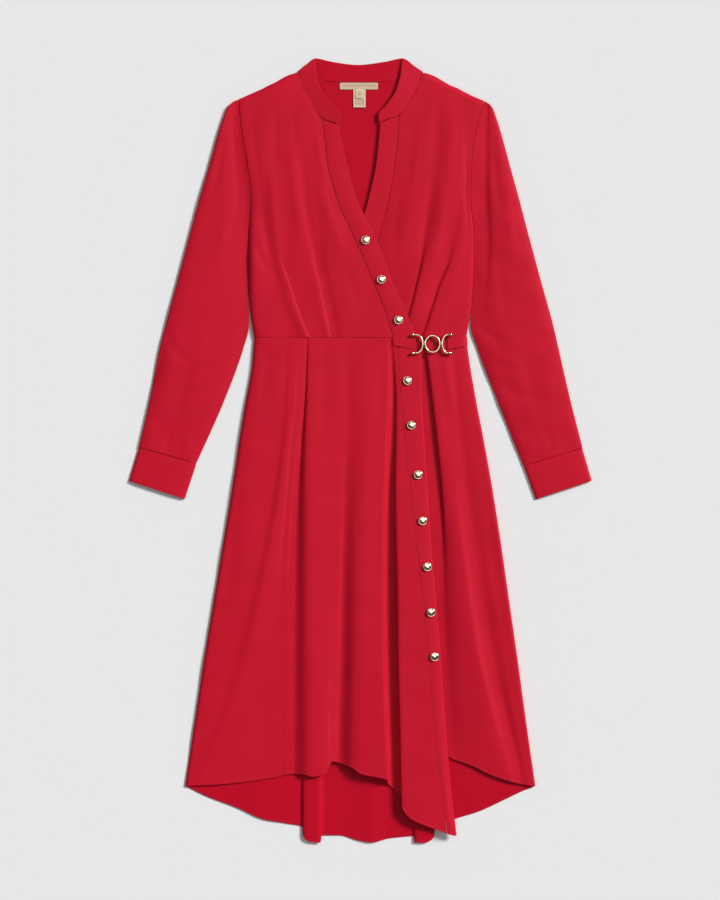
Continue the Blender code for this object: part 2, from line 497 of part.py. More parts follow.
def button_mesh():
    """A domed metal button with a rolled rim: a turned profile."""
    radius = BUTTON_DIAMETER / 2
    profile = (
        (0.0, BUTTON_HEIGHT),
        (radius * 0.45, BUTTON_HEIGHT * 0.93),
        (radius * 0.82, BUTTON_HEIGHT * 0.66),
        (radius, BUTTON_HEIGHT * 0.34),
        (radius * 0.93, 0.0),
        (0.0, 0.0),
    )
    mesh = bpy.data.meshes.new("button_profile")
    points = [(x * MM, 0.0, z * MM) for x, z in profile]
    mesh.from_pydata(points, [(i, i + 1) for i in range(len(points) - 1)], [])
    turned = bpy.data.objects.new("button_profile", mesh)
    bpy.context.scene.collection.objects.link(turned)
    screw = turned.modifiers.new("turn", "SCREW")
    screw.steps = 14
    screw.render_steps = 14
    screw.use_merge_vertices = True
    screw.merge_threshold = 0.00005
    weld = turned.modifiers.new("close", "WELD")
    weld.merge_threshold = 0.00005
    graph = bpy.context.evaluated_depsgraph_get()
    finished = bpy.data.meshes.new_from_object(turned.evaluated_get(graph))
    finished.name = "button"
    finished.shade_smooth()
    finished.set_sharp_from_angle(angle=math.radians(50))
    bpy.data.objects.remove(turned)
    return finished


def buttons(bodice_band, skirt_band):
    """The row of buttons, each resting just above its band and tilted with it."""
    mesh = button_mesh()
    places = [(bodice_band, x, y) for x, y in BUTTONS_BODICE]
    places += [(skirt_band, x, y) for x, y in BUTTONS_SKIRT]
    for number, (grid, x, y) in enumerate(places, start=1):
        point, normal = surface_frame(grid, x, y)
        base = point + normal * (CLOTH / 2 + BUTTON_CLEARANCE)
        made = add_object(f"button_{number:02d}", mesh.copy(), metal_material())
        turn = Vector((0, 0, 1)).rotation_difference(normal).to_matrix().to_4x4()
        made.matrix_world = Matrix.Translation(base * MM) @ turn


def rod(name, points, radii, cyclic=False):
    """A cast metal rod along points, with its own radius at each point."""
    curve = bpy.data.curves.new(name, "CURVE")
    curve.dimensions = "3D"
    curve.bevel_depth = MM
    curve.bevel_resolution = 2
    curve.use_fill_caps = not cyclic
    spline = curve.splines.new("POLY")
    spline.points.add(len(points) - 1)
    for spot, point, radius in zip(spline.points, points, radii):
        spot.co = (*[value * MM for value in point], 1.0)
        spot.radius = radius
    spline.use_cyclic_u = cyclic
    guide = bpy.data.objects.new(name + "_guide", curve)
    bpy.context.scene.collection.objects.link(guide)
    graph = bpy.context.evaluated_depsgraph_get()
    mesh = bpy.data.meshes.new_from_object(guide.evaluated_get(graph))
    bpy.data.objects.remove(guide)
    weld_mesh(mesh)
    mesh.shade_smooth()
    return add_object(name, mesh, metal_material())


def weld_mesh(mesh):
    """Joins the loose caps of a rod to its sides."""
    shape = bmesh.new()
    shape.from_mesh(mesh)
    bmesh.ops.remove_doubles(shape, verts=shape.verts, dist=0.00001)
    shape.to_mesh(mesh)
    shape.free()


def hook(name, apex_x, ball_x):
    """A C-shaped hook that ends in two balls, its bend towards the ring."""
    centre_y = CLASP_CENTRE_Y
    half_height = HOOK_HALF_HEIGHT
    points = []
    radii = []
    for step in np.linspace(-1, 1, 13):
        angle = step * math.pi / 2
        x = ball_x + (apex_x - ball_x) * math.cos(angle) ** 0.8
        points.append((x, centre_y + half_height * math.sin(angle), CLASP_HEIGHT))
        radii.append(CLASP_ROD)
    reach = math.copysign(1.0, ball_x - apex_x)
    for along, swell in CLASP_BALL_PROFILE:
        x = ball_x + reach * along
        points.append((x, centre_y + half_height, CLASP_HEIGHT))
        points.insert(0, (x, centre_y - half_height, CLASP_HEIGHT))
        radii.append(CLASP_BALL * swell)
        radii.insert(0, CLASP_BALL * swell)
    rod(name, points, radii)


def clasp():
    """The clasp: a hook at each side of a plain oval ring."""
    hook("clasp_hook_left", apex_x=99.6, ball_x=88.0)
    hook("clasp_hook_right", apex_x=131.0, ball_x=141.6)
    ring = []
    for angle in np.linspace(0, 2 * math.pi, RING_POINTS, endpoint=False):
        x = RING_CENTRE_X + RING_HALF_WIDTH * math.cos(angle)
        y = CLASP_CENTRE_Y + RING_HALF_HEIGHT * math.sin(angle)
        ring.append((x, y, CLASP_HEIGHT))
    rod("clasp_ring", ring, [CLASP_ROD] * len(ring), cyclic=True)


def label(name, left, right, top, end):
    """A flat woven label on the inside of the back neck."""
    bpy.ops.mesh.primitive_cube_add(size=1)
    made = bpy.context.object
    made.name = name
    made.data.name = name
    size = Vector((right - left, top - end, LABEL_THICKNESS))
    centre = Vector(((left + right) / 2, (top + end) / 2, LABEL_LAYER))
    made.data.transform(Matrix.Translation(centre * MM) @ Matrix.Diagonal((*(size * MM), 1.0)))
    made.data.materials.append(label_material())
    for holder in list(made.users_collection):
        holder.objects.unlink(made)
    collection("shirt_dress").objects.link(made)


def build():
    """Makes the whole dress."""
    for old in list(bpy.data.objects):
        bpy.data.objects.remove(old)

    wall("back_skirt", back_skirt_grid())
    table_wall("back_bodice", BACK_NECK, BODICE_LEVELS, shoulder_rows(12, 0.04), 1)

    table_wall("front_skirt_left", SKIRT_WRAP, SKIRT_LEVELS, even_rows(13), 2)
    skirt_band = table_wall("placket_skirt", SKIRT_PLACKET, SKIRT_LEVELS, even_rows(15), 2)
    table_wall("front_skirt_right", SKIRT_UNDER, SKIRT_LEVELS, even_rows(12), 2)

    bodice_rows = shoulder_rows(11)
    table_wall("front_bodice_left", BODICE_LEFT, BODICE_LEVELS, bodice_rows, 2, shoulder=True)
    table_wall("front_bodice_right", BODICE_RIGHT, BODICE_LEVELS, bodice_rows, 2, shoulder=True)
    bodice_band = table_wall("placket_bodice", BODICE_PLACKET, BODICE_LEVELS, even_rows(14), 2)
    table_wall("facing_right", FACING, BODICE_LEVELS, even_rows(11), 1)

    table_wall("collar_left", COLLAR_LEFT, COLLAR_LEVELS, even_rows(11), 3)
    table_wall("collar_right", COLLAR_RIGHT, COLLAR_LEVELS, even_rows(11), 3)
    table_wall("collar_back", COLLAR_BACK, COLLAR_BACK_LEVELS, even_rows(4), 2)

    sleeve("sleeve_left", LEFT_INNER, LEFT_OUTER, (561, 553, -21.6, 4.6))
    sleeve("sleeve_right", RIGHT_INNER, RIGHT_OUTER, (555, 553, -24.9, 3.4))
    cuff("cuff_left", LEFT_CUFF)
    cuff("cuff_right", RIGHT_CUFF)

    table_wall("belt_tab_left", TAB_LEFT, TAB_LEVELS, even_rows(3), 2)
    table_wall("belt_tab_right", TAB_RIGHT, TAB_LEVELS, even_rows(3), 2)
    clasp()
    buttons(bodice_band, skirt_band)

    label("neck_label", -32.5, 28, 588, 577.4)
    label("care_label", -11, 8.4, 577.1, 548.6)


build()
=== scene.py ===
"""Looks of the red shirt dress, laid flat with its front up.

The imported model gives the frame.  Every cloth node is replaced by a finer
shell on the same fold lines, with its creases, hems and topstitching, and the
buttons, clasp and labels by finished ones.  Table sizes are in millimetres.
"""

import math
from collections import namedtuple

import bpy
import numpy as np
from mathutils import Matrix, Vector


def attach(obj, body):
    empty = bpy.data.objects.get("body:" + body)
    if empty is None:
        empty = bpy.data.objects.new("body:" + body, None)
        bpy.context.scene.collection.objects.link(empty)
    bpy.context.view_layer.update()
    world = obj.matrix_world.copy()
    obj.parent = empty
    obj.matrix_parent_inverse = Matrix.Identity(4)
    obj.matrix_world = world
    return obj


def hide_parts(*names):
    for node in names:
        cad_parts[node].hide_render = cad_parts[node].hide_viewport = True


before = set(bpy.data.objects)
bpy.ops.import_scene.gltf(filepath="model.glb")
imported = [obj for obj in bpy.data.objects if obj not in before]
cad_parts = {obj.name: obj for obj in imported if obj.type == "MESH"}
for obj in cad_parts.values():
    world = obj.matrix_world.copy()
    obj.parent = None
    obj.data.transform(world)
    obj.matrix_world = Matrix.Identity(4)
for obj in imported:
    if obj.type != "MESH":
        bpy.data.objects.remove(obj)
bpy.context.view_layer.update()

MM = 0.001

# The cloth.
FLOOR_LAYER = 0.6         # middle of the layer that rests on the floor
EDGE_LAYER = 2.1          # middle of a layer that rests on that one
CLOTH = 1.1               # thickness of a piece in its middle
RIM = 0.24                # thickness at its very edge
EDGE_ROUND = 0.9          # how far in from an edge the cloth reaches full thickness
CREASE_REST = 2.0         # height over the floor layer from which a crease has its whole depth
LOWEST = 0.02             # no cloth lies lower than this
FULL_SHARE = 0.999        # a piece's area is at most this share of its cut's rectangle
COLUMN_SPACING = 2.8
ROW_SPACING = 2.8
SECTION_STEPS = 12        # steps of the smooth section in each gap between fold lines
COLUMN_APART = 0.02       # least distance that is put between two columns
EDGE_STEPS = (0.3, 0.7, 1.2, 2.0)      # close columns and rows near an edge
GROOVE_STEPS = (-1.3, -0.65, 0.0, 0.65, 1.3)   # close columns across a stitch line
GROOVE_WIDTH = 0.75       # half the width of the dip along a stitch line
ROW_SHIFT = 10000.0       # keeps rows apart when all are looked up at once

# The sewing.
STITCH_PITCH = 3.1
STITCH_LENGTH = 2.3
STITCH_RADIUS = 0.24
STITCH_BOW = 0.16         # how far a stitch's middle rises over its ends
STITCH_DIP = 0.04         # how far its ends lie under the surface
STITCH_LOOK = 0.8         # how far ahead and behind its direction is taken
SEAM_INSET = 1.8          # from a band's or collar's edge to its stitches
SHOULDER_INSET = 5.0
HEM_INSET = 3.2
BAND_END_INSET = 2.4
TAB_INSET = 8.0
LABEL_INSET = 1.3
RUN_POINTS = 24           # points of a stitch line between two places

WAIST_Y = 180.0
SEAM_GAP = 0.3
BAND_GAP = 0.7            # between the left bodice and its band

Fold = namedtuple("Fold", "line top end across height")


def skirt_folds(*lines):
    """The fold lines of a skirt piece, which all start at the waist seam."""
    return [Fold(line, WAIST_Y, end, across, height) for line, end, across, height in lines]


def bodice_folds(*lines):
    """The fold lines of a bodice piece, which all end at the waist seam."""
    return [Fold(line, top, WAIST_Y + SEAM_GAP, across, height) for line, top, across, height in lines]


def moved(places, distance):
    """A line's places across, all moved by the same distance."""
    return tuple(place + distance for place in places)


# The folds: one row for each line that runs down the cloth, with its end at the
# hem or its top, and its place across and height at each of the table's levels.
SKIRT_LEVELS = (180, 130, 75, 20, -60, -150, -240, -330, -430, -520, -610)    # waist to the wrap's tip
SKIRT_SIDE_LEFT = (-169.6, -174, -184, -193, -205, -219.7, -234.4, -249.3, -264.3, -277.6, -290)
SKIRT_SIDE_RIGHT = (168.6, 176, 185.6, 196.3, 210.6, 224.7, 237.6, 250.6, 264.2, 277.2, 290)
BODICE_LEVELS = (605, 520, 460, 400, 345, 305, 265, 225, 180)    # neck to waist
BODICE_SIDE_LEFT = (-196, -191.2, -180.8, -175.4, -178.4, -178.6, -178.4, -176.2, -170)
BODICE_SIDE_RIGHT = (216, 186.4, 177.6, 176.3, 181, 181, 180, 176.6, 169)

# Lines where two pieces meet, and heights that several fold lines share.
WRAP_SEAM = (58, 61, 65.4, 70, 79, 88.6, 98.7, 108.3, 116.8, 126, 138.3)
WRAP_SEAM_HEIGHT = (7.2, 8.6, 10.2, 11.4, 13.2, 14.8, 15.8, 15.9, 15.4, 14.4, 13.4)
BODICE_SEAM = (-70.7, -59.7, -53.2, -36.9, -13.2, 5.3, 21.7, 38.6, 52.1)
BODICE_SEAM_HEIGHT = (4.4, 5.6, 6.4, 7.0, 7.4, 7.5, 7.5, 7.4, 7.2)
FACING_SEAM = (64, 61.2, 55.7, 45.4, 31, 23.5, 24.5, 33.5, 45.7)
FACING_SEAM_HEIGHT = (5.6, 6.2, 6.2, 5.2, 3.9, 3.1, 3.0, 2.9, 2.8)
FLAT = (FLOOR_LAYER,) * 9
EDGE = (EDGE_LAYER,) * 11
ARMHOLE_HEIGHTS = (2.4, 5.0, 5.6, 4.6, 2.8, 2.1, 2.1, 2.1, 2.1)

SKIRT_WRAP = skirt_folds(
    ("side edge", -537, SKIRT_SIDE_LEFT, EDGE),
    ("side roll", -537, moved(SKIRT_SIDE_LEFT[:-1], 4) + (-287,),
     (5.4, 5.8, 6.0, 6.2, 6.2, 6.0, 5.8, 5.4, 4.8, 4.2, 4.0)),
    ("side panel", -536.5, (-146, -152, -162, -170, -180, -194, -208, -223, -241, -267, -284),
     (6.8, 7.2, 7.4, 7.4, 7.2, 6.9, 6.5, 6.0, 5.2, 4.5, 4.2)),
    ("slant foot", -536, (-118, -120, -122, -127, -138, -156, -177, -200, -230, -262, -281),
     (7, 6.8, 6.7, 6.6, 6.4, 6.3, 6.1, 5.8, 5.2, 4.6, 4.3)),
    ("slant crest", -535.6, (-111, -112.5, -114, -119, -128.5, -143, -160.5, -181, -215, -252, -275),
     (7.2, 7.3, 7.5, 7.7, 8, 8.2, 8.1, 7.5, 6.3, 4.9, 4.5)),
    ("slant slope", -535, (-103, -104, -106, -113, -120, -130, -146, -166, -198, -235, -258),
     (7.2, 7.2, 7.3, 7.4, 7.4, 7.3, 7.2, 6.9, 5.9, 4.8, 4.5)),
    ("left field", -522.5, (-96, -100.5, -104.5, -110, -116, -123, -128, -130, -132, -134, -135),
     (7, 6.8, 6.6, 6.4, 6.2, 5.9, 5.4, 4.9, 4.5, 4.2, 4.0)),
    ("pleat brim", -519.5, (-90, -94, -98, -103, -108.5, -114, -118, -120, -122, -123, -124),
     (6.9, 6.4, 6.1, 5.9, 5.6, 5.4, 5.0, 4.6, 4.3, 4.0, 3.9)),
    ("pleat edge", -519, (-87.4, -90, -93.6, -99.5, -107, -113, -116, -118, -119, -120, -121),
     (6.7, 6.1, 5.7, 5.4, 5.2, 5, 4.9, 4.7, 4.4, 4.1, 4)),
    ("pleat tuck", -517.5, (-86, -87.8, -91, -96, -102.4, -107, -109.4, -110.8, -111.6, -112, -112.4),
     (6.4, 5.8, 5.3, 4.9, 4.6, 4.5, 4.5, 4.4, 4.3, 4, 3.8)),
    ("pleat floor", -517.5,
     (-84.9, -86.2, -88.8, -93.2, -98.6, -102.4, -104.4, -105.4, -106, -106, -106.4),
     (6.2, 5.5, 4.9, 4.5, 4.3, 4.3, 4.3, 4.3, 4.2, 3.8, 3.6)),
    ("first fold foot", -517.7, (-84.2, -85.3, -87.4, -91, -94.8, -97, -98, -98.6, -98.8, -98.8, -99),
     (6.5, 6.4, 6.4, 6.4, 6.4, 6.4, 6.4, 6.4, 6.2, 6, 5.8)),
    ("first fold shoulder", -518.5,
     (-81.8, -82.8, -84.4, -86.4, -87.8, -88.2, -88.4, -88.2, -87.8, -87.2, -87.2),
     (7, 7.8, 8.6, 9.7, 10.8, 11.4, 11.8, 11.8, 11.6, 11.2, 11)),
    ("first fold top", -521.5, (-73, -74, -76, -77.5, -79, -79, -79, -78.5, -78, -77, -77),
     (7.2, 8.1, 9.1, 10.2, 11.6, 12.4, 13, 13.1, 12.8, 12.3, 12)),
    ("first fold right", -513.5, (-46, -46.5, -47, -47.5, -48.5, -49, -49.5, -50.5, -51.5, -51.8, -52),
     (7.1, 7.7, 8.5, 9.4, 10.3, 10.8, 11, 11.1, 11, 10.7, 10.5)),
    ("first fold drop", -501, (-36, -36.5, -37, -38, -39.5, -41, -43, -45.5, -47.6, -48.2, -48.4),
     (7, 7.6, 8.3, 9.1, 9.8, 10.1, 10.2, 10.1, 9.9, 9.6, 9.4)),
    ("second valley left", -497, (-27, -27, -28, -29, -30, -32, -35, -38, -41, -43, -43),
     (7, 7.4, 8, 8.7, 9.4, 9.6, 9.4, 9.1, 8.8, 8.6, 8.5)),
    ("second valley", -499.5, (-17, -18, -20, -22, -24, -27, -29, -30, -33, -34, -34),
     (7, 7.3, 7.8, 8.3, 8.8, 8.7, 8.2, 7.6, 7.2, 7.0, 6.9)),
    ("second fold left", -507, (-6, -5, -5, -5, -6, -7, -7.5, -9, -11, -13, -14),
     (7, 7.8, 8.8, 9.9, 12.2, 14.6, 16, 16.4, 16.2, 15.4, 15)),
    ("second fold top", -516, (9, 9, 9, 9, 8, 7, 6, 4, 2, 0, 0),
     (7, 8.3, 9.6, 11, 13.5, 15.9, 17.3, 17.7, 17.5, 16.9, 16.5)),
    ("second fold slope", -524, (28, 29, 30, 30, 28.6, 28, 28, 29, 32, 36, 38),
     (7, 8, 9.2, 10.3, 12.7, 15.1, 16.8, 17.4, 17.3, 16.9, 16.6)),
    ("second fold edge", -527.5, (43, 44.6, 45.2, 43.6, 39.6, 37.4, 36.4, 37.6, 40.6, 44, 46),
     (7, 7.7, 8.7, 9.8, 12.3, 14.8, 16.5, 17.1, 17.1, 16.7, 16.4)),
    ("second fold tuck", -530, (45.4, 46.4, 46.6, 44.2, 38.6, 35.8, 34.6, 35.8, 38.8, 42.2, 44.4),
     (6.9, 6.8, 6.8, 6.8, 7.8, 9.2, 10, 10.4, 10.4, 10.2, 10)),
    ("third valley", -540, (48, 50.4, 51.8, 50.4, 46.4, 44.2, 43.4, 44.6, 47.6, 51, 53.6),
     (6.8, 5.6, 4.8, 4.3, 3.3, 2.8, 2.6, 2.6, 2.6, 2.8, 3)),
    ("wrap tuck", -560, (50, 54, 57.6, 57.8, 57.2, 58.8, 60.6, 62, 64.5, 66.8, 69.5),
     (6.8, 6.2, 5.8, 5.8, 6.4, 7.0, 7.5, 7.8, 8.0, 8.0, 8.0)),
    ("wrap edge", -565.5, (51.8, 55, 57.4, 57.2, 55.8, 57.2, 59, 60.2, 62.9, 65, 67.5),
     (6.9, 7.6, 8.8, 10, 11.8, 13.4, 14.6, 15, 15.2, 15, 14.6)),
    ("wrap shoulder", -581, (54.5, 58.5, 61.6, 61.8, 61, 62.6, 64.6, 65.8, 68.5, 70.8, 73.7),
     (7, 8.4, 10, 11.2, 13.2, 15, 16.2, 16.4, 16.4, 15.8, 15.2)),
    ("wrap seam", -612.3, WRAP_SEAM, WRAP_SEAM_HEIGHT),
)

SKIRT_PLACKET = skirt_folds(
    ("band seam", -612.5, moved(WRAP_SEAM, SEAM_GAP), WRAP_SEAM_HEIGHT),
    ("band middle", -614.5, (77, 79.5, 82, 86, 93, 101, 110, 118.5, 126, 134.5, 145.5),
     (7.5, 8.8, 10.2, 11.4, 13, 14.6, 15.5, 15.5, 14.9, 13.8, 12.8)),
    ("band brim", -615.5, (92, 93.6, 94.4, 97.5, 102.6, 108.6, 116.6, 124.2, 131.4, 138.4, 148.6),
     (7.4, 8.6, 9.9, 11, 12.6, 14, 14.8, 14.7, 14, 12.8, 11.8)),
    ("band edge", -615.5, (97, 98.4, 98.8, 102.2, 107.4, 113.3, 121, 128.5, 135.7, 142.7, 152.6),
     (7, 8.2, 9.4, 10.5, 12, 13.3, 14, 13.8, 13, 11.8, 10.8)),
    ("band turn", -611, (96.4, 96.6, 96.8, 99, 103.4, 108.8, 116, 123.4, 130.4, 137.6, 148.6),
     (5.6, 6.4, 7.2, 8.2, 9.6, 10.6, 11.2, 10.8, 10, 9, 8)),
)

SKIRT_UNDER = skirt_folds(
    ("hidden edge", -482, (76, 79, 83.5, 88, 94, 100, 106, 111, 116, 121, 126),
     (2.6, 2.6, 2.5, 2.5, 2.5, 2.5, 2.5, 2.5, 2.5, 2.5, 2.6)),
    ("cavity floor", -490, (94, 99, 104.5, 110, 115, 121, 127, 133, 138.5, 142.5, 146),
     (2.6, 2.6, 2.5, 2.5, 2.5, 2.5, 2.5, 2.5, 2.7, 3.0, 3.2)),
    ("pleat tuck", -495, (103, 109.8, 116.8, 123.4, 130.4, 132, 134, 139, 146, 152, 156),
     (3.9, 4.2, 4.4, 4.4, 3.8, 3, 3, 3, 3.2, 3.4, 3.6)),
    ("pleat edge", -498, (101.6, 108.8, 115.6, 121.9, 130.2, 136.6, 141, 147, 155, 163, 168),
     (5.6, 6.8, 7.8, 8.6, 7.8, 6, 5.4, 5, 4.8, 4.4, 4.4)),
    ("pleat brim", -504, (105.5, 113.5, 120.6, 126.8, 135.4, 143, 149, 156, 167, 180, 188),
     (6.9, 8.6, 9.6, 10.2, 9.6, 8.2, 7.6, 7, 6.6, 5.6, 5.2)),
    ("slope", -518.5, (111, 119, 126, 132, 141, 150, 158, 169, 186, 208, 220),
     (7, 8.6, 9.7, 10.3, 10.2, 9.6, 9.2, 8.8, 8.3, 7, 6.2)),
    ("crest", -528.5, (117, 124, 131, 137, 148, 161, 173, 188, 212, 236, 248),
     (7, 8.4, 9.4, 10, 10.3, 10.4, 10.4, 10.4, 9.8, 7.8, 6.4)),
    ("crest drop", -532, (128, 138, 145, 152, 162, 173, 185, 200, 224, 248, 262),
     (7, 8, 8.7, 8.9, 8.6, 8.1, 7.8, 7.7, 7.3, 6.2, 5.5)),
    ("side trough", -534, (143, 149, 156, 162, 171, 184, 197, 212, 235, 257, 271),
     (6.9, 7.4, 7.8, 7.9, 7.5, 7.1, 6.8, 6.6, 6.2, 5.4, 5.0)),
    ("side panel", -535.5, (154, 160, 168, 178, 191, 205, 216, 230, 248, 266, 280),
     (6.8, 7.4, 8, 8.6, 9.0, 9.1, 9.1, 9.0, 8.2, 6.2, 5.2)),
    ("side roll", -537, moved(SKIRT_SIDE_RIGHT, -1.4),
     (5.6, 6.4, 7.4, 8.4, 9.2, 9.6, 9.8, 9.6, 8.4, 6.1, 4.8)),
    ("side edge", -537, SKIRT_SIDE_RIGHT, EDGE),
)

# The back skirt's hem: where each line reaches it, and how high it lifts there.
HemPoint = namedtuple("HemPoint", "line across end lift")
BACK_HEM = (
    HemPoint("left corner", -280, -537, 0.0),
    HemPoint("left rise", -246, -553.5, 0.2),
    HemPoint("left curve", -199, -571, 0.8),
    HemPoint("left wave", -152, -591, 1.4),
    HemPoint("left hollow", -117, -597, 0.6),
    HemPoint("first lap foot", -92.8, -603, 0.0),
    HemPoint("first lap side", -91.2, -618, 3.4),
    HemPoint("first lap", -80, -626, 4.2),
    HemPoint("first lap end", -64, -627.5, 3.6),
    HemPoint("middle start", -62, -615.7, 1.2),
    HemPoint("middle left", -32, -616, 0.4),
    HemPoint("middle low", -4, -624, 1.0),
    HemPoint("middle wave", 17, -627, 2.4),
    HemPoint("middle fall", 47, -620.5, 0.2),
    HemPoint("second lap foot", 85, -617, 0.0),
    HemPoint("second lap side", 87, -627, 2.8),
    HemPoint("second lap", 102, -627.5, 3.6),
    HemPoint("second lap end", 117, -619.5, 2.6),
    HemPoint("right start", 119, -603, 0.4),
    HemPoint("right hollow", 150.5, -590, 0.0),
    HemPoint("right wave", 192, -576.5, 0.9),
    HemPoint("right curve", 226, -561, 0.5),
    HemPoint("right rise", 259.5, -545, 0.1),
    HemPoint("right corner", 279.6, -537, 0.0),
)
HEM_FOLD_TOP = -440       # the back's hem folds start to rise here
HEM_FOLD_FULL = -570      # and have their whole height here

BODICE_LEFT = bodice_folds(
    ("armhole and side", 561.2, BODICE_SIDE_LEFT, ARMHOLE_HEIGHTS),
    ("side roll", 561.9, (-194.4, -189.6, -179.2, -173.8, -176.4, -176.4, -176.2, -174, -167.8),
     (3.2, 5.5, 6.1, 5.7, 5.6, 6.2, 6.2, 5.8, 5)),
    ("side crest", 565.6, (-186, -181.6, -171.4, -165.8, -168.6, -168.8, -168.6, -166.6, -160.4),
     (3.8, 6.3, 6.9, 7.4, 8.2, 8.6, 8.4, 7.7, 6.7)),
    ("side panel", 574.3, (-166, -160, -155, -153, -151, -146, -134, -122, -104),
     (4, 7.2, 7.7, 7.9, 7.7, 7.4, 7.1, 6.8, 6.4)),
    ("outer lip brim", 583.5, (-146, -145, -144, -142, -137, -131, -117.5, -105, -86.5),
     (4.4, 7.2, 7.7, 7.9, 8.1, 8.2, 8.2, 8.1, 7.6)),
    ("outer lip edge", 585.4, (-142, -141, -140, -137, -132, -127, -113.5, -101, -82.5),
     (4.4, 7.2, 7.7, 7.8, 7.8, 7.8, 7.7, 7.6, 7.1)),
    ("outer lip foot", 588.7, (-135, -133, -132, -130, -126, -124.6, -111.7, -99.3, -80.9),
     (4.4, 7.1, 7.6, 7.6, 7.6, 7.3, 7.1, 6.9, 6.5)),
    ("outer rise", 592.4, (-127, -124, -123, -121, -116, -115, -102.5, -89.5, -71),
     (4.4, 7.1, 7.5, 7.5, 7.4, 7.1, 6.9, 6.7, 6.4)),
    ("between lips", 599.9, (-111, -108, -107, -105, -100, -99, -88, -76, -60),
     (4.4, 7.3, 7.8, 8, 8, 7.6, 7.2, 6.9, 6.6)),
    ("inner lip brim", 603.5, (-103, -99, -96, -92, -86, -79, -69.8, -61.2, -51.7),
     (4.4, 7.3, 7.8, 8.1, 8.2, 8.2, 8.1, 7.9, 7.4)),
    ("inner lip edge", 600, (-99, -95, -92, -87, -80.5, -75, -65.8, -57.2, -47.7),
     (4.4, 7.1, 7.6, 7.9, 7.9, 7.8, 7.6, 7.4, 7)),
    ("inner lip foot", 586, (-94, -88, -86, -81, -75, -72.8, -64, -55.6, -46.1),
     (4.4, 6.9, 7.4, 7.6, 7.6, 7.3, 7, 6.8, 6.4)),
    ("inner rise", 571, (-88, -78, -75, -72, -67, -64, -56, -47, -38),
     (4.4, 6.6, 7.2, 7.4, 7.3, 7, 6.8, 6.6, 6.4)),
    ("front field", 549, (-84, -71, -64, -55, -50, -50, -42, -34, -26),
     (4.4, 6.4, 7.4, 7.9, 8.3, 8.2, 8.0, 7.8, 7.2)),
    ("beside the band", 538, (-78, -66, -58, -46, -28, -12, 3, 18, 32),
     (4.4, 6.0, 6.9, 7.4, 7.7, 7.7, 7.6, 7.5, 7.3)),
    ("band seam", 529, BODICE_SEAM, BODICE_SEAM_HEIGHT),
)

BODICE_PLACKET = bodice_folds(
    ("band seam", 529, moved(BODICE_SEAM, BAND_GAP), BODICE_SEAM_HEIGHT),
    ("band middle", 524.2, (-54, -46, -37, -20, 5, 22.6, 38, 56, 71.5),
     (4.8, 6.2, 6.8, 7.6, 8.0, 8.1, 8.0, 7.9, 7.6)),
    ("band edge", 520, (-38, -32.8, -21.5, -4.2, 22.6, 39.3, 53.3, 72.4, 90),
     (4.6, 6.0, 6.4, 7.0, 7.4, 7.5, 7.5, 7.4, 7.3)),
)

FACING = bodice_folds(
    ("free edge", 523.6, (37, 31.6, 25.7, 12.7, -3, -10, -9, 2, 20),
     (4.6, 6.2, 6.6, 5.6, 3.8, 2.8, 2.6, 2.6, 2.6)),
    ("facing middle", 530.1, (51, 47, 41, 29, 14, 7, 8, 18, 33),
     (5.4, 6.4, 6.6, 5.6, 3.9, 2.9, 2.8, 2.8, 2.8)),
    ("facing seam", 534, FACING_SEAM, FACING_SEAM_HEIGHT),
)

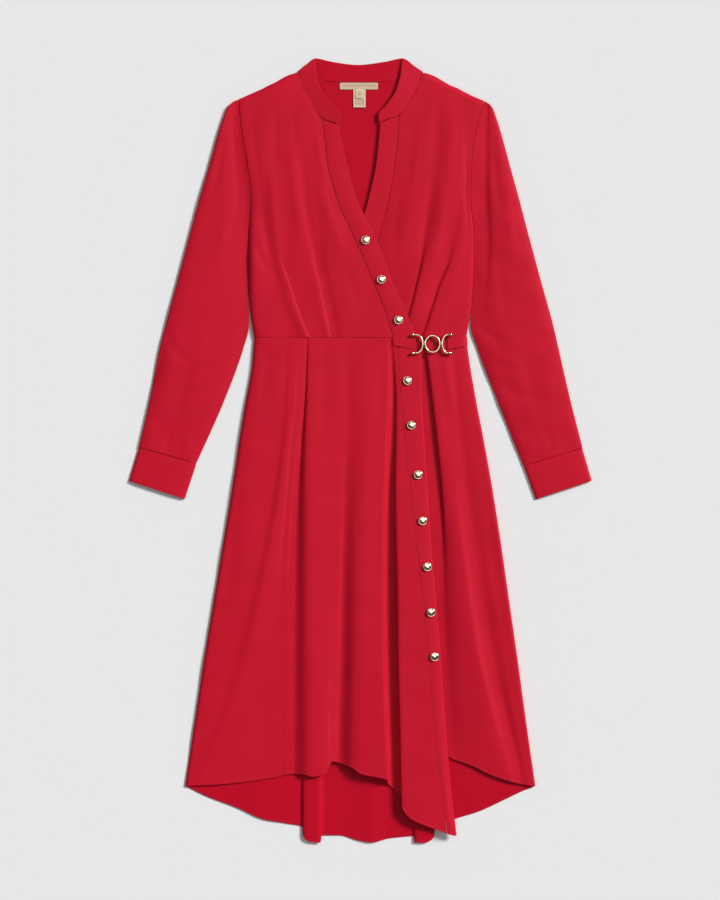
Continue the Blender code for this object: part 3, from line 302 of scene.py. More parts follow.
BODICE_RIGHT = bodice_folds(
    ("facing seam", 534, moved(FACING_SEAM, SEAM_GAP), FACING_SEAM_HEIGHT),
    ("under the band", 553, (80, 74, 67, 58, 44, 36, 42, 48, 53),
     (5.4, 6.4, 6.6, 6.2, 5.2, 4.6, 4.6, 4.4, 4.2)),
    ("below the collar", 576, (92.3, 84.5, 78, 70, 59, 54, 60, 62, 59),
     (4.4, 6.6, 7.0, 6.9, 6.2, 5.6, 5.5, 5.0, 4.4)),
    ("front field", 604, (100.8, 97, 92, 85, 77, 73, 74, 73, 63),
     (4.4, 6.8, 7.3, 7.4, 7.0, 6.2, 5.7, 5.2, 4.4)),
    ("before the lip", 596.5, (118, 112, 106, 99, 92, 88, 83, 77, 66),
     (4.4, 7.2, 7.5, 7.3, 6.7, 6.0, 5.5, 5.1, 4.4)),
    ("inner lip foot", 587.8, (137, 127, 119.5, 110, 102.5, 98.6, 89.7, 80, 68),
     (4.4, 7.0, 7.1, 6.8, 6.0, 5.4, 5.1, 4.9, 4.4)),
    ("inner lip edge", 586.3, (140, 131, 124.5, 115, 107, 100.2, 91, 81.3, 69.4),
     (4.4, 7.1, 7.3, 7.1, 6.7, 6.9, 7.1, 7.1, 4.8)),
    ("inner lip brim", 584.7, (143, 137, 132, 124.5, 116, 106, 95.5, 85.8, 74),
     (4.4, 7.4, 8.0, 8.3, 8.4, 8.4, 8.5, 8.3, 5.2)),
    ("between lips", 583, (146, 142, 139, 132.5, 125.5, 118, 107, 96, 84),
     (4.4, 7.5, 8.2, 8.6, 8.8, 8.7, 8.5, 8.2, 5.5)),
    ("outer lip foot", 580.5, (150, 155, 157, 153, 147, 142.5, 127.3, 114, 99),
     (4.4, 7.4, 8.0, 8.1, 7.6, 6.6, 6.1, 5.9, 5.9)),
    ("outer lip edge", 579.4, (152.5, 158, 160.5, 157.5, 152, 144.2, 128.7, 115.4, 100.4),
     (4.4, 7.4, 8.0, 8.1, 7.8, 7.5, 7.5, 7.3, 6.9)),
    ("outer lip brim", 578, (155, 161, 164.2, 162.5, 158.5, 149, 133.2, 119.8, 104.8),
     (4.4, 7.3, 7.9, 8.1, 8.2, 8.2, 8.2, 8.1, 7.5)),
    ("side panel", 567.5, (186, 169, 167.6, 166.4, 167, 163, 157, 150, 144),
     (3.8, 6.6, 7.2, 7.4, 7.7, 7.9, 7.8, 7.5, 6.9)),
    ("side crest", 561.8, (206, 177.6, 169.4, 168.4, 172.6, 172.6, 171.6, 168.4, 161.2),
     (3.4, 6.3, 6.8, 6.7, 6.8, 6.8, 6.6, 6.4, 6)),
    ("side roll", 559, (214.6, 185.2, 176.4, 175.1, 179.8, 179.8, 178.8, 175.4, 167.8),
     (2.8, 6.1, 6.6, 6.3, 5.8, 5.5, 5.3, 5, 4.6)),
    ("armhole and side", 558.4, BODICE_SIDE_RIGHT,
     (2.4, 5.9, 6.4, 5.9, 4.2, 3.2, 2.6, 2.2, 2.1)),
)

BACK_NECK = bodice_folds(
    ("left side", 562, BODICE_SIDE_LEFT, FLAT),
    ("left shoulder", 583, (-148, -143, -140, -137, -136, -135, -134, -132, -130), FLAT),
    ("left neck point", 603.5, (-101, -98, -96, -94, -92, -91, -90, -89, -88), FLAT),
    ("left neck", 593.8, (-68, -67, -66, -64, -62, -61, -60, -59, -58), FLAT),
    ("nape left", 590.8, (-33, -33, -32, -31, -31, -30, -30, -29, -29), FLAT),
    ("nape right", 590.8, (28,) * 9, FLAT),
    ("right neck", 593.4, (62, 62, 61, 60, 59, 59, 58, 58, 57), FLAT),
    ("right neck point", 604, (98.5, 96, 94, 92, 91, 90, 90, 89, 88), FLAT),
    ("right shoulder", 581, (151, 145, 142, 139, 138, 138, 137, 134, 130), FLAT),
    ("right side", 555, BODICE_SIDE_RIGHT, FLAT),
)

COLLAR_LEVELS = (628, 605, 575, 550, 538, 520)
COLLAR_LEFT = (
    Fold("collar seam", 605.3, 529.4, (-106, -100.4, -90, -78.7, -68.2, -50),
         (3.4, 3.8, 5.6, 5.8, 5.8, 5.8)),
    Fold("collar middle", 616.5, 524.6, (-90, -84.5, -76, -59.5, -49, -41), (2.6, 5.0, 6.8, 7.2, 7.2, 7.0)),
    Fold("collar edge", 627.4, 521, (-71, -70.5, -62.4, -40.5, -31, -32), (2.6, 6.2, 7.8, 8.4, 8.2, 7.4)),
)
COLLAR_RIGHT = (
    Fold("collar edge", 627.4, 523.6, (67, 65, 57, 39.5, 29, 30.7), (2.6, 6.2, 7.8, 8.0, 7.6, 7.0)),
    Fold("collar middle", 617, 529.4, (84, 81, 71.5, 56, 46.5, 40), (2.6, 5.0, 6.8, 7.2, 7.2, 7.0)),
    Fold("collar seam", 605.3, 534.4, (105, 100, 88.7, 74.6, 64.2, 48), (3.4, 3.6, 5.2, 5.6, 5.8, 5.8)),
)
COLLAR_BACK_LEVELS = (622, 592)
OVER_NECK = (FLOOR_LAYER, 1.75)
COLLAR_BACK = (
    Fold("left turn", 612.5, 602.5, (-91, -91), FLAT[:2]),
    Fold("left fold", 627, 595.5, (-71.5, -71.5), FLAT[:2]),
    Fold("left rise", 621.6, 589.8, (-45, -45), OVER_NECK),
    Fold("nape", 616.6, 588.5, (-4, -4), OVER_NECK),
    Fold("right rise", 621.8, 589.8, (40, 40), OVER_NECK),
    Fold("right fold", 627, 594.5, (67, 67), FLAT[:2]),
    Fold("right turn", 611, 603, (91, 91), FLAT[:2]),
)

# Sleeves: lines from the underarm edge of the top layer over the outer edge and
# back in the layer below, each at a share of the sleeve's width.
LEFT_SLEEVE_ENDS = (560.6, 548, -21.6, 4.6)      # top and end, at the inner and the outer edge
RIGHT_SLEEVE_ENDS = (557.8, 547, -24.9, 3.4)
SLEEVE_LEVELS = (605, 520, 460, 400, 345, 265, 200, 165, 80, -20)
ARMHOLE_GAP = 0.5         # between the bodice's side and the sleeve beside it
LEFT_INNER = (moved(BODICE_SIDE_LEFT[:5] + BODICE_SIDE_LEFT[6:7], -ARMHOLE_GAP)
              + (-178.2, -186.5, -217.5, -262))
LEFT_OUTER = (-190, -222.9, -240, -257.5, -272.3, -293.6, -311, -320, -336.5, -359.7)
RIGHT_INNER = (moved(BODICE_SIDE_RIGHT[:5] + BODICE_SIDE_RIGHT[6:7], ARMHOLE_GAP)
               + (176.6, 186.6, 219, 258.7))
RIGHT_OUTER = (190, 220.8, 237.4, 253.9, 268.3, 290, 308, 316, 335.5, 361.1)
Ring = namedtuple("Ring", "line share height")
SLEEVE_FLOOR = (FLOOR_LAYER,) * 10
SLEEVE_UNDER = (
    Ring("outer edge", (1.0,) * 10, (3.0, 3.2, 3.4, 3.4, 3.4, 3.4, 3.4, 3.4, 3.4, 3.2)),
    Ring("outer turn", (0.97,) * 10, SLEEVE_FLOOR),
    Ring("below outer", (0.75,) * 10, SLEEVE_FLOOR),
    Ring("below inner", (0.3,) * 10, SLEEVE_FLOOR),
    Ring("below seam", (0.0,) * 10, SLEEVE_FLOOR),
)
LEFT_SLEEVE = (
    Ring("seam", (0.0,) * 10, (2.6, 4.6, 5.2, 4.2, 2.4, 2.1, 2.1, 2.1, 2.1, 2.1)),
    Ring("shelf", (0.15, 0.15, 0.13, 0.085, 0.075, 0.065, 0.055, 0.055, 0.06, 0.07),
         (2.8, 4, 4, 3, 2.4, 2.3, 2.6, 3.2, 3.8, 3.9)),
    Ring("valley", (0.3, 0.34, 0.26, 0.18, 0.15, 0.13, 0.12, 0.12, 0.12, 0.14),
         (3.4, 4, 3.8, 3, 2.9, 2.9, 3.6, 4.6, 5.2, 4.7)),
    Ring("rise", (0.45, 0.55, 0.46, 0.38, 0.36, 0.34, 0.3, 0.28, 0.28, 0.3),
         (3.8, 4.9, 5.4, 5.2, 5, 5, 5.6, 6.2, 6.3, 5.0)),
    Ring("top", (0.62, 0.74, 0.66, 0.62, 0.6, 0.6, 0.6, 0.6, 0.6, 0.6),
         (4.2, 5.5, 6.4, 6.6, 6.6, 6.6, 6.9, 7.2, 6.9, 5.1)),
    Ring("outer slope", (0.85, 0.89, 0.86, 0.85, 0.85, 0.85, 0.85, 0.85, 0.85, 0.85),
         (4.2, 5.7, 6.4, 6.4, 6.4, 6.4, 6.6, 6.8, 6.4, 5.0)),
    Ring("outer brim", (0.965,) * 10, (3.8, 4.8, 5.2, 5.2, 5.2, 5.2, 5.2, 5.2, 5.0, 4.6)),
) + SLEEVE_UNDER
RIGHT_SLEEVE = (
    Ring("seam", (0.0,) * 10, (2.8, 5.6, 6.1, 5.5, 3.6, 2.6, 2.2, 2.1, 2.1, 2.1)),
    Ring("beside the seam", (0.20, 0.22, 0.20, 0.16, 0.13, 0.10, 0.08, 0.08, 0.08, 0.10),
         (3.2, 5.2, 5.5, 4.9, 4, 4, 4.2, 4.6, 4.6, 4.4)),
    Ring("valley", (0.40, 0.44, 0.38, 0.31, 0.26, 0.19, 0.15, 0.14, 0.14, 0.16),
         (3.6, 4.8, 4.8, 4.4, 4.4, 5, 5.4, 5.6, 5.4, 4.8)),
    Ring("wall", (0.6, 0.62, 0.51, 0.42, 0.35, 0.28, 0.25, 0.25, 0.25, 0.28),
         (4.2, 6, 6.9, 7.2, 7, 6.8, 6.6, 6.4, 6.0, 5.0)),
    Ring("crest", (0.75, 0.83, 0.76, 0.61, 0.53, 0.44, 0.42, 0.42, 0.42, 0.45),
         (4.4, 6.1, 7.3, 7.8, 7.8, 7.4, 7.2, 7.2, 6.7, 5.1)),
    Ring("outer slope", (0.86, 0.91, 0.88, 0.86, 0.86, 0.86, 0.86, 0.86, 0.86, 0.86),
         (4.0, 5.6, 6.4, 6.8, 6.8, 6.6, 6.6, 6.6, 6.3, 5.0)),
    Ring("outer brim", (0.965,) * 10, (3.6, 4.6, 5.0, 5.2, 5.2, 5.2, 5.2, 5.2, 5.0, 4.6)),
) + SLEEVE_UNDER
SLEEVE_TUCK = 2.4         # how far a sleeve's end goes into its cuff
TUCK_BLEND = 1.0          # how far before the cuff it begins to dip and narrow
TUCK_STEPS = (0.0, 0.35, 0.7, 1.0, 1.8, 3.0)   # close rows before the cuff
TUCK_NARROWING = 0.9      # how far each edge goes in
TUCK_SPREAD = 20          # distance from the middle over which that sets in
TUCK_LOW, TUCK_HIGH = 1.8, 4.0        # its layers lie between these heights
SLEEVE_LENGTH = 590       # along which its rows are spaced

# Cuffs: lines round one, each at its share of the width with its height, and
# the ends of the outer and the inner edge.
CUFF_LENGTH = 58
CUFF_SPACING = 2.4
CUFF_SECTION = (
    (0.0, EDGE_LAYER), (0.05, 4.0), (0.35, 5.0), (0.7, 5.0), (0.95, 4.2),
    (0.995, 2.3), (0.955, FLOOR_LAYER), (0.5, FLOOR_LAYER), (0.0, FLOOR_LAYER),
)
LEFT_CUFF = {"outer": ((-354, 3.6), (-370, -49)), "inner": ((-262.6, -22.6), (-281, -78))}
RIGHT_CUFF = {"outer": ((355.2, 2.3), (370, -48.4)), "inner": ((261.6, -26.0), (280.8, -78.2))}

# Waist tabs that the clasp joins.
TAB_LEVELS = (182, 161)
TAB_LEFT = (
    Fold("sewn end", 181.8, 167.4, (51.6, 52.6), (9.4, 9.4)),
    Fold("stitch line", 181.4, 166, (59, 60), (9.6, 9.6)),
    Fold("tab middle", 180.9, 163.5, (74, 74), (9.4, 9.4)),
    Fold("clasp end", 180.2, 161.2, (89, 89), (9.4, 9.4)),
)
TAB_RIGHT = (
    Fold("clasp end", 181.2, 161.4, (139, 139), (9.4, 9.4)),
    Fold("tab middle", 181.5, 163.5, (152, 152), (9.4, 9.4)),
    Fold("tab turn", 181.8, 165.6, (165, 165), (8.4, 8.8)),
    Fold("side end", 181.8, 166.4, (170.6, 171.6), (4.6, 4.6)),
)

# Labels in the back neck: their edges, their height at the sewn top edge, and
# how far the free end stands up above that.
Label = namedtuple("Label", "name node left right top end height rise")
NECK_LABEL = Label("neck_label_ribbon", "neck_label", -32.5, 28.0, 588.0, 577.4, 1.85, 0.9)
CARE_LABEL = Label("care_label_ribbon", "care_label", -11.0, 8.4, 577.1, 548.6, 1.9, 1.1)
SIZE_TAB = Label("size_tab_ribbon", "care_label", -7.4, 4.4, 577.3, 563.8, 2.75, 1.3)
LABEL_SPACING = 1.5
LABEL_THICKNESS = 0.6
LABEL_BORDER = 1.7        # width of the paler woven edge
LABEL_BLEND = 0.3         # half the width over which its colour changes
LABEL_WAVE = 0.12         # how far a label waves up and down

# Buttons: centres on the two bands, across and along, and the profile as radius
# and height: the dome, then its groove and rolled rim, then the shank.
BUTTONS_BODICE = ((8.6, 336.2), (33.6, 273), (61.1, 208.3))
BUTTONS_SKIRT = ((75.4, 111.4), (81.6, 40.2), (92.2, -38.9), (99.5, -112.5),
                 (106.9, -185.8), (112.8, -258.6), (118.3, -329.3))
BUTTON_LIFT = 0.6         # from the band's middle layer
DOME_STEPS = 13
DOME_RADIUS = 5.6
DOME_TOP = 3.55
DOME_DROP = 0.85          # from its middle to its edge
BUTTON_RIM = [(5.85, 2.52), (6.05, 2.5), (6.25, 2.62), (6.6, 2.6), (6.87, 2.3), (7.0, 1.8), (6.9, 1.3),
              (6.6, 0.95), (5.8, 0.75)]
BUTTON_SHANK = [(2.0, 0.7), (1.9, 0.5), (1.9, -0.4), (0.02, -0.45)]

# The clasp: apex and ball of each hook across, and along a hook's tail where
# its ridge, its rod's end and its ball come.
CLASP_Y = 170.0
CLASP_Z = 13.4
CLASP_ROD = 1.8
HOOK_HALF_HEIGHT = 14.6
LEFT_HOOK = (99.6, 88.0)
RIGHT_HOOK = (131.0, 140.4)
BEND_STEPS = 61
TAIL_STEPS = 40
TAIL = (0.15, 7.2)
RIDGE_AT, RIDGE_WIDTH, RIDGE_RISE = 0.9, 0.5, 0.75
ROD_END, TIP_RADIUS = 2.4, 0.03
BALL_AT, BALL_HALF_LENGTH, BALL_RADIUS = 4.2, 2.95, 2.85
RING_X = 115.3
RING_HALF_WIDTH = 11.6
RING_HALF_HEIGHT = 13.2
RING_STEPS = 96
TURNED_SIDES = 40
TUBE_SIDES = 20


# ---------------------------------------------------------------- curves and grids

def cubic(first, second, slope_first, slope_second, width, t):
    """The cubic between two values with the given slopes at its ends."""
    return (first * (1 + 2 * t) * (1 - t) ** 2 + slope_first * width * t * (1 - t) ** 2
            + second * t * t * (3 - 2 * t) + slope_second * width * t * t * (t - 1))


def eased(share):
    """An S-curve from 0 to 1."""
    return share * share * (3 - 2 * share)


def quarter_circle(share):
    """The height of a quarter circle, upright at its start and level at its end."""
    return np.sqrt(1 - (1 - share) ** 2)


def unit(vectors):
    """Vectors brought to a length of 1."""
    return vectors / np.maximum(np.linalg.norm(vectors, axis=-1, keepdims=True), 1e-9)


def distances(points, axis=0):
    """Each point's distance along an axis of a grid from the first one there."""
    steps = np.linalg.norm(np.diff(points, axis=axis), axis=-1)
    return np.insert(np.cumsum(steps, axis=axis), 0, 0.0, axis=axis)


def circle(sides):
    """Evenly spaced angles all round."""
    return np.arange(sides) * 2 * math.pi / sides


def through(levels, values, at):
    """A smooth curve through the values at the levels, which never swings past
    them: cubic between two levels, with slopes that are harmonic means of the
    neighbouring rises, and straight beyond the ends."""
    levels = np.asarray(levels, float)
    values = np.asarray(values, float)
    if levels[0] > levels[-1]:
        levels = levels[::-1]
        values = values[::-1]
    gaps = np.diff(levels)
    rises = np.diff(values) / gaps
    slopes = np.empty_like(values)
    slopes[0] = rises[0]
    slopes[-1] = rises[-1]
    product = rises[:-1] * rises[1:]
    total = rises[:-1] + rises[1:]
    safe = np.where(product > 0, total, 1.0)
    slopes[1:-1] = np.where(product > 0, 2 * product / safe, 0.0)
    inside = np.clip(at, levels[0], levels[-1])
    left = np.clip(np.searchsorted(levels, inside, side="right") - 1, 0, len(gaps) - 1)
    t = (inside - levels[left]) / gaps[left]
    curve = cubic(values[left], values[left + 1], slopes[left], slopes[left + 1], gaps[left], t)
    beyond = at - inside
    return curve + beyond * np.where(beyond > 0, slopes[-1], slopes[0])


def across_lines(lines, steps):
    """Smooth sections through fold lines (line, row, xyz), with the same number
    of steps in each gap: the same kind of cubic, weighted by the gaps' widths."""
    spans = np.linalg.norm(np.diff(lines, axis=0), axis=2, keepdims=True)
    spans = np.maximum(spans, 1e-6)
    rises = np.diff(lines, axis=0) / spans
    slopes = np.empty_like(lines)
    slopes[0] = rises[0]
    slopes[-1] = rises[-1]
    product = rises[:-1] * rises[1:]
    weight_left = 2 * spans[1:] + spans[:-1]
    weight_right = spans[1:] + 2 * spans[:-1]
    total = weight_left * rises[1:] + weight_right * rises[:-1]
    safe = np.where(product > 0, total, 1.0)
    slopes[1:-1] = np.where(product > 0, 3 * product * (spans[1:] + spans[:-1]) / safe, 0.0)
    pieces = []
    for gap in range(len(lines) - 1):
        count = steps + 1 if gap == len(lines) - 2 else steps
        t = (np.arange(count) / steps)[:, None, None]
        pieces.append(cubic(lines[gap], lines[gap + 1], slopes[gap], slopes[gap + 1], spans[gap], t))
    return np.concatenate(pieces)


def fold_lines(folds, levels, rows):
    """The fold lines of a table as points (line, row, xyz)."""
    lines = []
    for fold in folds:
        y = fold.top + rows * (fold.end - fold.top)
        lines.append(np.column_stack([through(levels, fold.across, y), y, through(levels, fold.height, y)]))
    return np.array(lines)


def rows_down(length, spacing=ROW_SPACING):
    """Shares from 0 to 1 down a piece, close together near both ends."""
    even = np.linspace(0, length, int(round(length / spacing)) + 1)
    near = np.array(EDGE_STEPS)
    places = np.unique(np.concatenate([even, near, length - near]))
    return places / length


def at_arc(arc, values, wanted):
    """Values looked up at the wanted distances across each row.  Each row is
    moved along by its own large shift, so one interpolation serves all rows."""
    shift = np.arange(arc.shape[1]) * ROW_SHIFT
    known = (arc + shift).T.ravel()
    asked = (wanted + shift).T.ravel()
    parts = [np.interp(asked, known, values[..., k].T.ravel()) for k in range(values.shape[2])]
    return np.stack(parts, axis=-1).reshape(arc.shape[1], wanted.shape[0], -1).transpose(1, 0, 2)


def lay_columns(lines, spacing, grooves):
    """The grid of a piece and each point's distance across from its first edge.
    Columns fall on every fold line and evenly between them, with closer ones at
    the edges and across each stitch line, sorted in every row."""
    dense = across_lines(lines, SECTION_STEPS)
    arc = distances(dense)
    marks = arc[::SECTION_STEPS]
    gaps = np.diff(marks, axis=0)
    total = marks[-1]
    wanted = []
    for gap in range(len(gaps)):
        count = max(3, int(round(gaps[gap].mean() / spacing)))
        share = np.linspace(0, 1, count, endpoint=False)[:, None]
        wanted.append(marks[gap] + share * gaps[gap])
    wanted.append(marks[-1:])
    for step in EDGE_STEPS:
        inset = np.minimum(step, total / 3)
        wanted.append(inset[None])
        wanted.append((total - inset)[None])
    for groove in grooves:
        for step in GROOVE_STEPS:
            inset = groove.inset + step
            wanted.append(np.minimum(inset, total)[None] if groove.side == "first"
                          else np.maximum(total - inset, 0)[None])
    wanted = np.sort(np.concatenate(wanted), axis=0)
    apart = COLUMN_APART * np.arange(len(wanted))[:, None]
    wanted = (wanted + apart) * total / (total + apart[-1])
    return at_arc(arc, dense, wanted), wanted


def grid_normals(grid):
    """Unit normals: the cross product of the way across and the way up a column."""
    across = np.gradient(grid, axis=0)
    along = -np.gradient(grid, axis=1)
    return unit(np.cross(across, along))


# ---------------------------------------------------------------- creases

Crease = namedtuple("Crease", "name start middle end width depth")
Groove = namedtuple("Groove", "side inset depth")
CREASE_POINTS = 15        # along the curve of a crease
CREASE_REACH = 3          # widths from the curve, past which nothing is lifted
CREASE_FADE = 0.8         # how early a crease rises from its ends: the sine's power
WAVES = 8
WAVE_LENGTHS = (45, 170)


def crease_lift(x, y, creases):
    """How far soft creases raise or sink the points (x, y).  A crease runs along
    a curve with one bend; across it the lift is a bell of the crease's width,
    and it fades to nothing at both ends."""
    lift = np.zeros_like(x)
    points = np.stack([x, y], axis=-1)
    t = np.linspace(0, 1, CREASE_POINTS)[:, None]
    for crease in creases:
        start, middle, end = (np.array(p, float) for p in (crease.start, crease.middle, crease.end))
        bend = 2 * middle - 0.5 * (start + end)
        path = start * (1 - t) ** 2 + bend * 2 * t * (1 - t) + end * t * t
        reach = CREASE_REACH * crease.width
        near = ((x > path[:, 0].min() - reach) & (x < path[:, 0].max() + reach)
                & (y > path[:, 1].min() - reach) & (y < path[:, 1].max() + reach))
        if not near.any():
            continue
        spot = points[near][:, None, :]
        way = path[1:] - path[:-1]
        share = np.clip(((spot - path[:-1]) * way).sum(-1) / (way ** 2).sum(-1), 0, 1)
        gap = np.linalg.norm(spot - (path[:-1] + share[..., None] * way), axis=2)
        nearest = gap.argmin(axis=1)
        index = np.arange(len(nearest))
        place = (nearest + share[index, nearest]) / len(way)
        fade = np.clip(np.sin(np.pi * np.clip(place, 0.0, 1.0)), 0, 1) ** CREASE_FADE
        lift[near] += crease.depth * np.exp(-(gap[index, nearest] / crease.width) ** 2) * fade
    return lift


def unevenness(x, y, seed, amount):
    """The slight unevenness of cloth that has been pressed and laid down: a sum
    of long waves in different directions, divided by their number."""
    dice = np.random.default_rng(seed)
    lift = np.zeros_like(x)
    for _ in range(WAVES):
        angle = dice.uniform(0, math.pi)
        length = dice.uniform(*WAVE_LENGTHS)
        phase = dice.uniform(0, 2 * math.pi)
        lift += np.sin(2 * math.pi * (x * math.cos(angle) + y * math.sin(angle)) / length + phase)
    return amount * lift / WAVES


# Soft creases: three points each, how wide they are and how far they rise.
LEFT_BODICE_CREASES = (
    Crease("beside the outer pleat", (-160, 430), (-150, 345), (-128, 262), 8, -1.1),
    Crease("over the outer pleat", (-141, 470), (-138, 385), (-122, 300), 7, 0.8),
    Crease("beside the inner pleat", (-92, 470), (-84, 372), (-60, 265), 7, -0.9),
    Crease("over the inner pleat", (-112, 500), (-104, 410), (-88, 318), 8, 0.8),
    Crease("from the shoulder", (-172, 545), (-168, 480), (-158, 400), 8, -0.8),
    Crease("under the shoulder", (-140, 560), (-136, 500), (-139, 430), 7, -0.7),
    Crease("below the neck", (-104, 575), (-103, 500), (-88, 430), 8, -0.6),
    Crease("across the front", (-70, 430), (-40, 350), (-8, 262), 9, 0.7),
    Crease("to the waist", (-34, 330), (-14, 270), (-2, 205), 7, -0.6),
    Crease("underarm", (-172, 350), (-160, 310), (-142, 285), 6, -0.8),
    Crease("side of the waist", (-166, 232), (-150, 252), (-128, 262), 6, 0.7),
)
RIGHT_BODICE_CREASES = (
    Crease("from the shoulder", (124, 556), (121, 510), (111, 440), 8, -1.1),
    Crease("beside it", (147, 552), (146, 500), (139, 430), 9, 1.0),
    Crease("long trough", (117, 440), (108, 375), (94, 300), 8, -0.9),
    Crease("long ridge", (137, 430), (126, 350), (104, 262), 8, 0.9),
    Crease("below the neck", (96, 545), (91, 470), (80, 400), 8, 0.8),
    Crease("beside the facing", (68, 420), (58, 370), (56, 300), 7, -0.6),
    Crease("armhole trough", (166, 470), (164, 410), (151, 345), 7, -0.8),
    Crease("underarm", (174, 330), (163, 300), (150, 262), 7, -0.8),
    Crease("outer ridge", (164, 320), (148, 262), (128, 205), 7, 0.8),
    Crease("side of the waist", (170, 232), (158, 222), (140, 205), 5, -0.5),
)
LEFT_SLEEVE_CREASES = (
    Crease("cap", (-214, 500), (-226, 455), (-236, 400), 8, -0.8),
    Crease("upper arm", (-208, 430), (-218, 350), (-222, 270), 9, 0.8),
    Crease("inside the elbow", (-187, 215), (-216, 188), (-250, 176), 8, -0.9),
    Crease("over the elbow", (-196, 180), (-228, 150), (-270, 140), 8, 0.8),
    Crease("below the elbow", (-214, 122), (-244, 96), (-288, 90), 9, -0.8),
    Crease("forearm", (-262, 170), (-280, 110), (-296, 40), 9, -0.8),
    Crease("forearm ridge", (-290, 190), (-306, 120), (-322, 50), 9, 0.9),
    Crease("outer elbow", (-312, 196), (-296, 160), (-272, 145), 7, -0.8),
    Crease("hollow by the outer edge", (-312.5, 174), (-323, 134), (-331.5, 97), 2.6, -1.3),
    Crease("above the cuff", (-300, 40), (-308, 18), (-312, -4), 5, -0.7),
    Crease("beside the cuff", (-330, 44), (-336, 22), (-340, 4), 5, 0.6),
    Crease("inside the cuff", (-272, 30), (-276, 10), (-280, -12), 5, 0.6),
)
RIGHT_SLEEVE_CREASES = (
    Crease("cap", (206, 505), (216, 440), (224, 380), 8, -0.8),
    Crease("upper arm", (232, 440), (238, 370), (246, 300), 9, 0.9),
    Crease("upper arm trough", (216, 330), (226, 260), (236, 200), 8, -0.7),
    Crease("inside the elbow", (186, 205), (210, 182), (246, 172), 8, -0.9),
    Crease("over the elbow", (196, 172), (228, 146), (262, 140), 8, 0.8),
    Crease("below the elbow", (212, 118), (248, 92), (284, 92), 9, -0.7),
    Crease("forearm", (258, 165), (274, 100), (290, 34), 9, -0.9),
    Crease("forearm ridge", (284, 180), (300, 110), (314, 40), 9, 0.9),
    Crease("outer elbow", (306, 190), (290, 152), (268, 140), 7, -0.8),
    Crease("above the cuff", (296, 42), (302, 20), (305, -6), 5, -0.7),
    Crease("inside the cuff", (268, 26), (274, 6), (277, -14), 5, 0.6),
)
SKIRT_LEFT_CREASES = (
    Crease("below the waist", (-150, 176), (-152, 120), (-158, 60), 8, -0.7),
    Crease("hip", (-128, 174), (-130, 110), (-140, 40), 8, 0.6),
    Crease("top of the first fold", (-56, 176), (-58, 100), (-60, 20), 7, -0.5),
    Crease("middle of the front", (-20, 176), (-20, 110), (-16, 40), 7, -0.5),
    Crease("below the tab", (40, 172), (34, 110), (26, 40), 7, -0.6),
    Crease("left panel", (-190, -40), (-205, -170), (-226, -300), 12, -0.8),
    Crease("left hem", (-150, -400), (-158, -450), (-160, -515), 10, -0.6),
)
SKIRT_RIGHT_CREASES = (
    Crease("below the tab", (150, 172), (152, 120), (158, 60), 7, -0.6),
    Crease("hip", (130, 174), (140, 120), (148, 60), 7, 0.6),
    Crease("right panel", (196, -60), (214, -180), (236, -300), 11, -0.9),
    Crease("right hem", (212, -420), (226, -470), (240, -515), 9, -0.6),
)


# ---------------------------------------------------------------- meshes

def mesh_object(name, points, faces, material, uv=None):
    """A mesh piece from arrays: points in millimetres, faces of three or four
    corners each, and one UV pair for each face corner."""
    mesh = bpy.data.meshes.new(name)
    corners = faces.shape[1]
    mesh.vertices.add(len(points))
    mesh.vertices.foreach_set("co", (np.asarray(points) * MM).astype(np.float32).ravel())
    mesh.loops.add(faces.size)
    mesh.loops.foreach_set("vertex_index", faces.astype(np.int32).ravel())
    mesh.polygons.add(len(faces))
    mesh.polygons.foreach_set("loop_start", np.arange(0, faces.size, corners, dtype=np.int32))
    if uv is not None:
        layer = mesh.uv_layers.new(name="cloth")
        layer.data.foreach_set("uv", uv[faces.ravel()].astype(np.float32).ravel())
    mesh.update(calc_edges=True)
    mesh.validate()
    mesh.shade_smooth()
    mesh.materials.append(material)
    made = bpy.data.objects.new(name, mesh)
    bpy.context.scene.collection.objects.link(made)
    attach(made, "root")
    return made


def grid_faces(columns, rows, start=0, flip=False):
    """Four-cornered faces of a grid whose points are stored column by column."""
    index = start + np.arange(columns * rows).reshape(columns, rows)
    order = [index[:-1, :-1], index[:-1, 1:], index[1:, 1:], index[1:, :-1]]
    if flip:
        order = order[::-1]
    return np.stack(order, axis=-1).reshape(-1, 4)


Cloth = namedtuple("Cloth", "grid normal half wanted")


def ring_faces(rings, sides, closed=False):
    """Four-cornered faces between rings of points, and from the last ring back
    to the first if the row of rings is closed."""
    index = np.arange(rings * sides).reshape(rings, sides)
    if closed:
        index = np.concatenate([index, index[:1]])
    right = np.roll(index, -1, axis=1)
    return np.stack([index[:-1], right[:-1], right[1:], index[1:]], axis=-1).reshape(-1, 4)


def rim_faces(columns, rows):
    """Faces that close the rim between an upper and a lower grid."""
    index = np.arange(columns * rows).reshape(columns, rows)
    loop = np.concatenate([index[:, 0], index[-1, 1:], index[-2::-1, -1], index[0, -2:0:-1]])
    after = np.roll(loop, -1)
    below = columns * rows
    return np.stack([loop, after, after + below, loop + below], axis=-1)


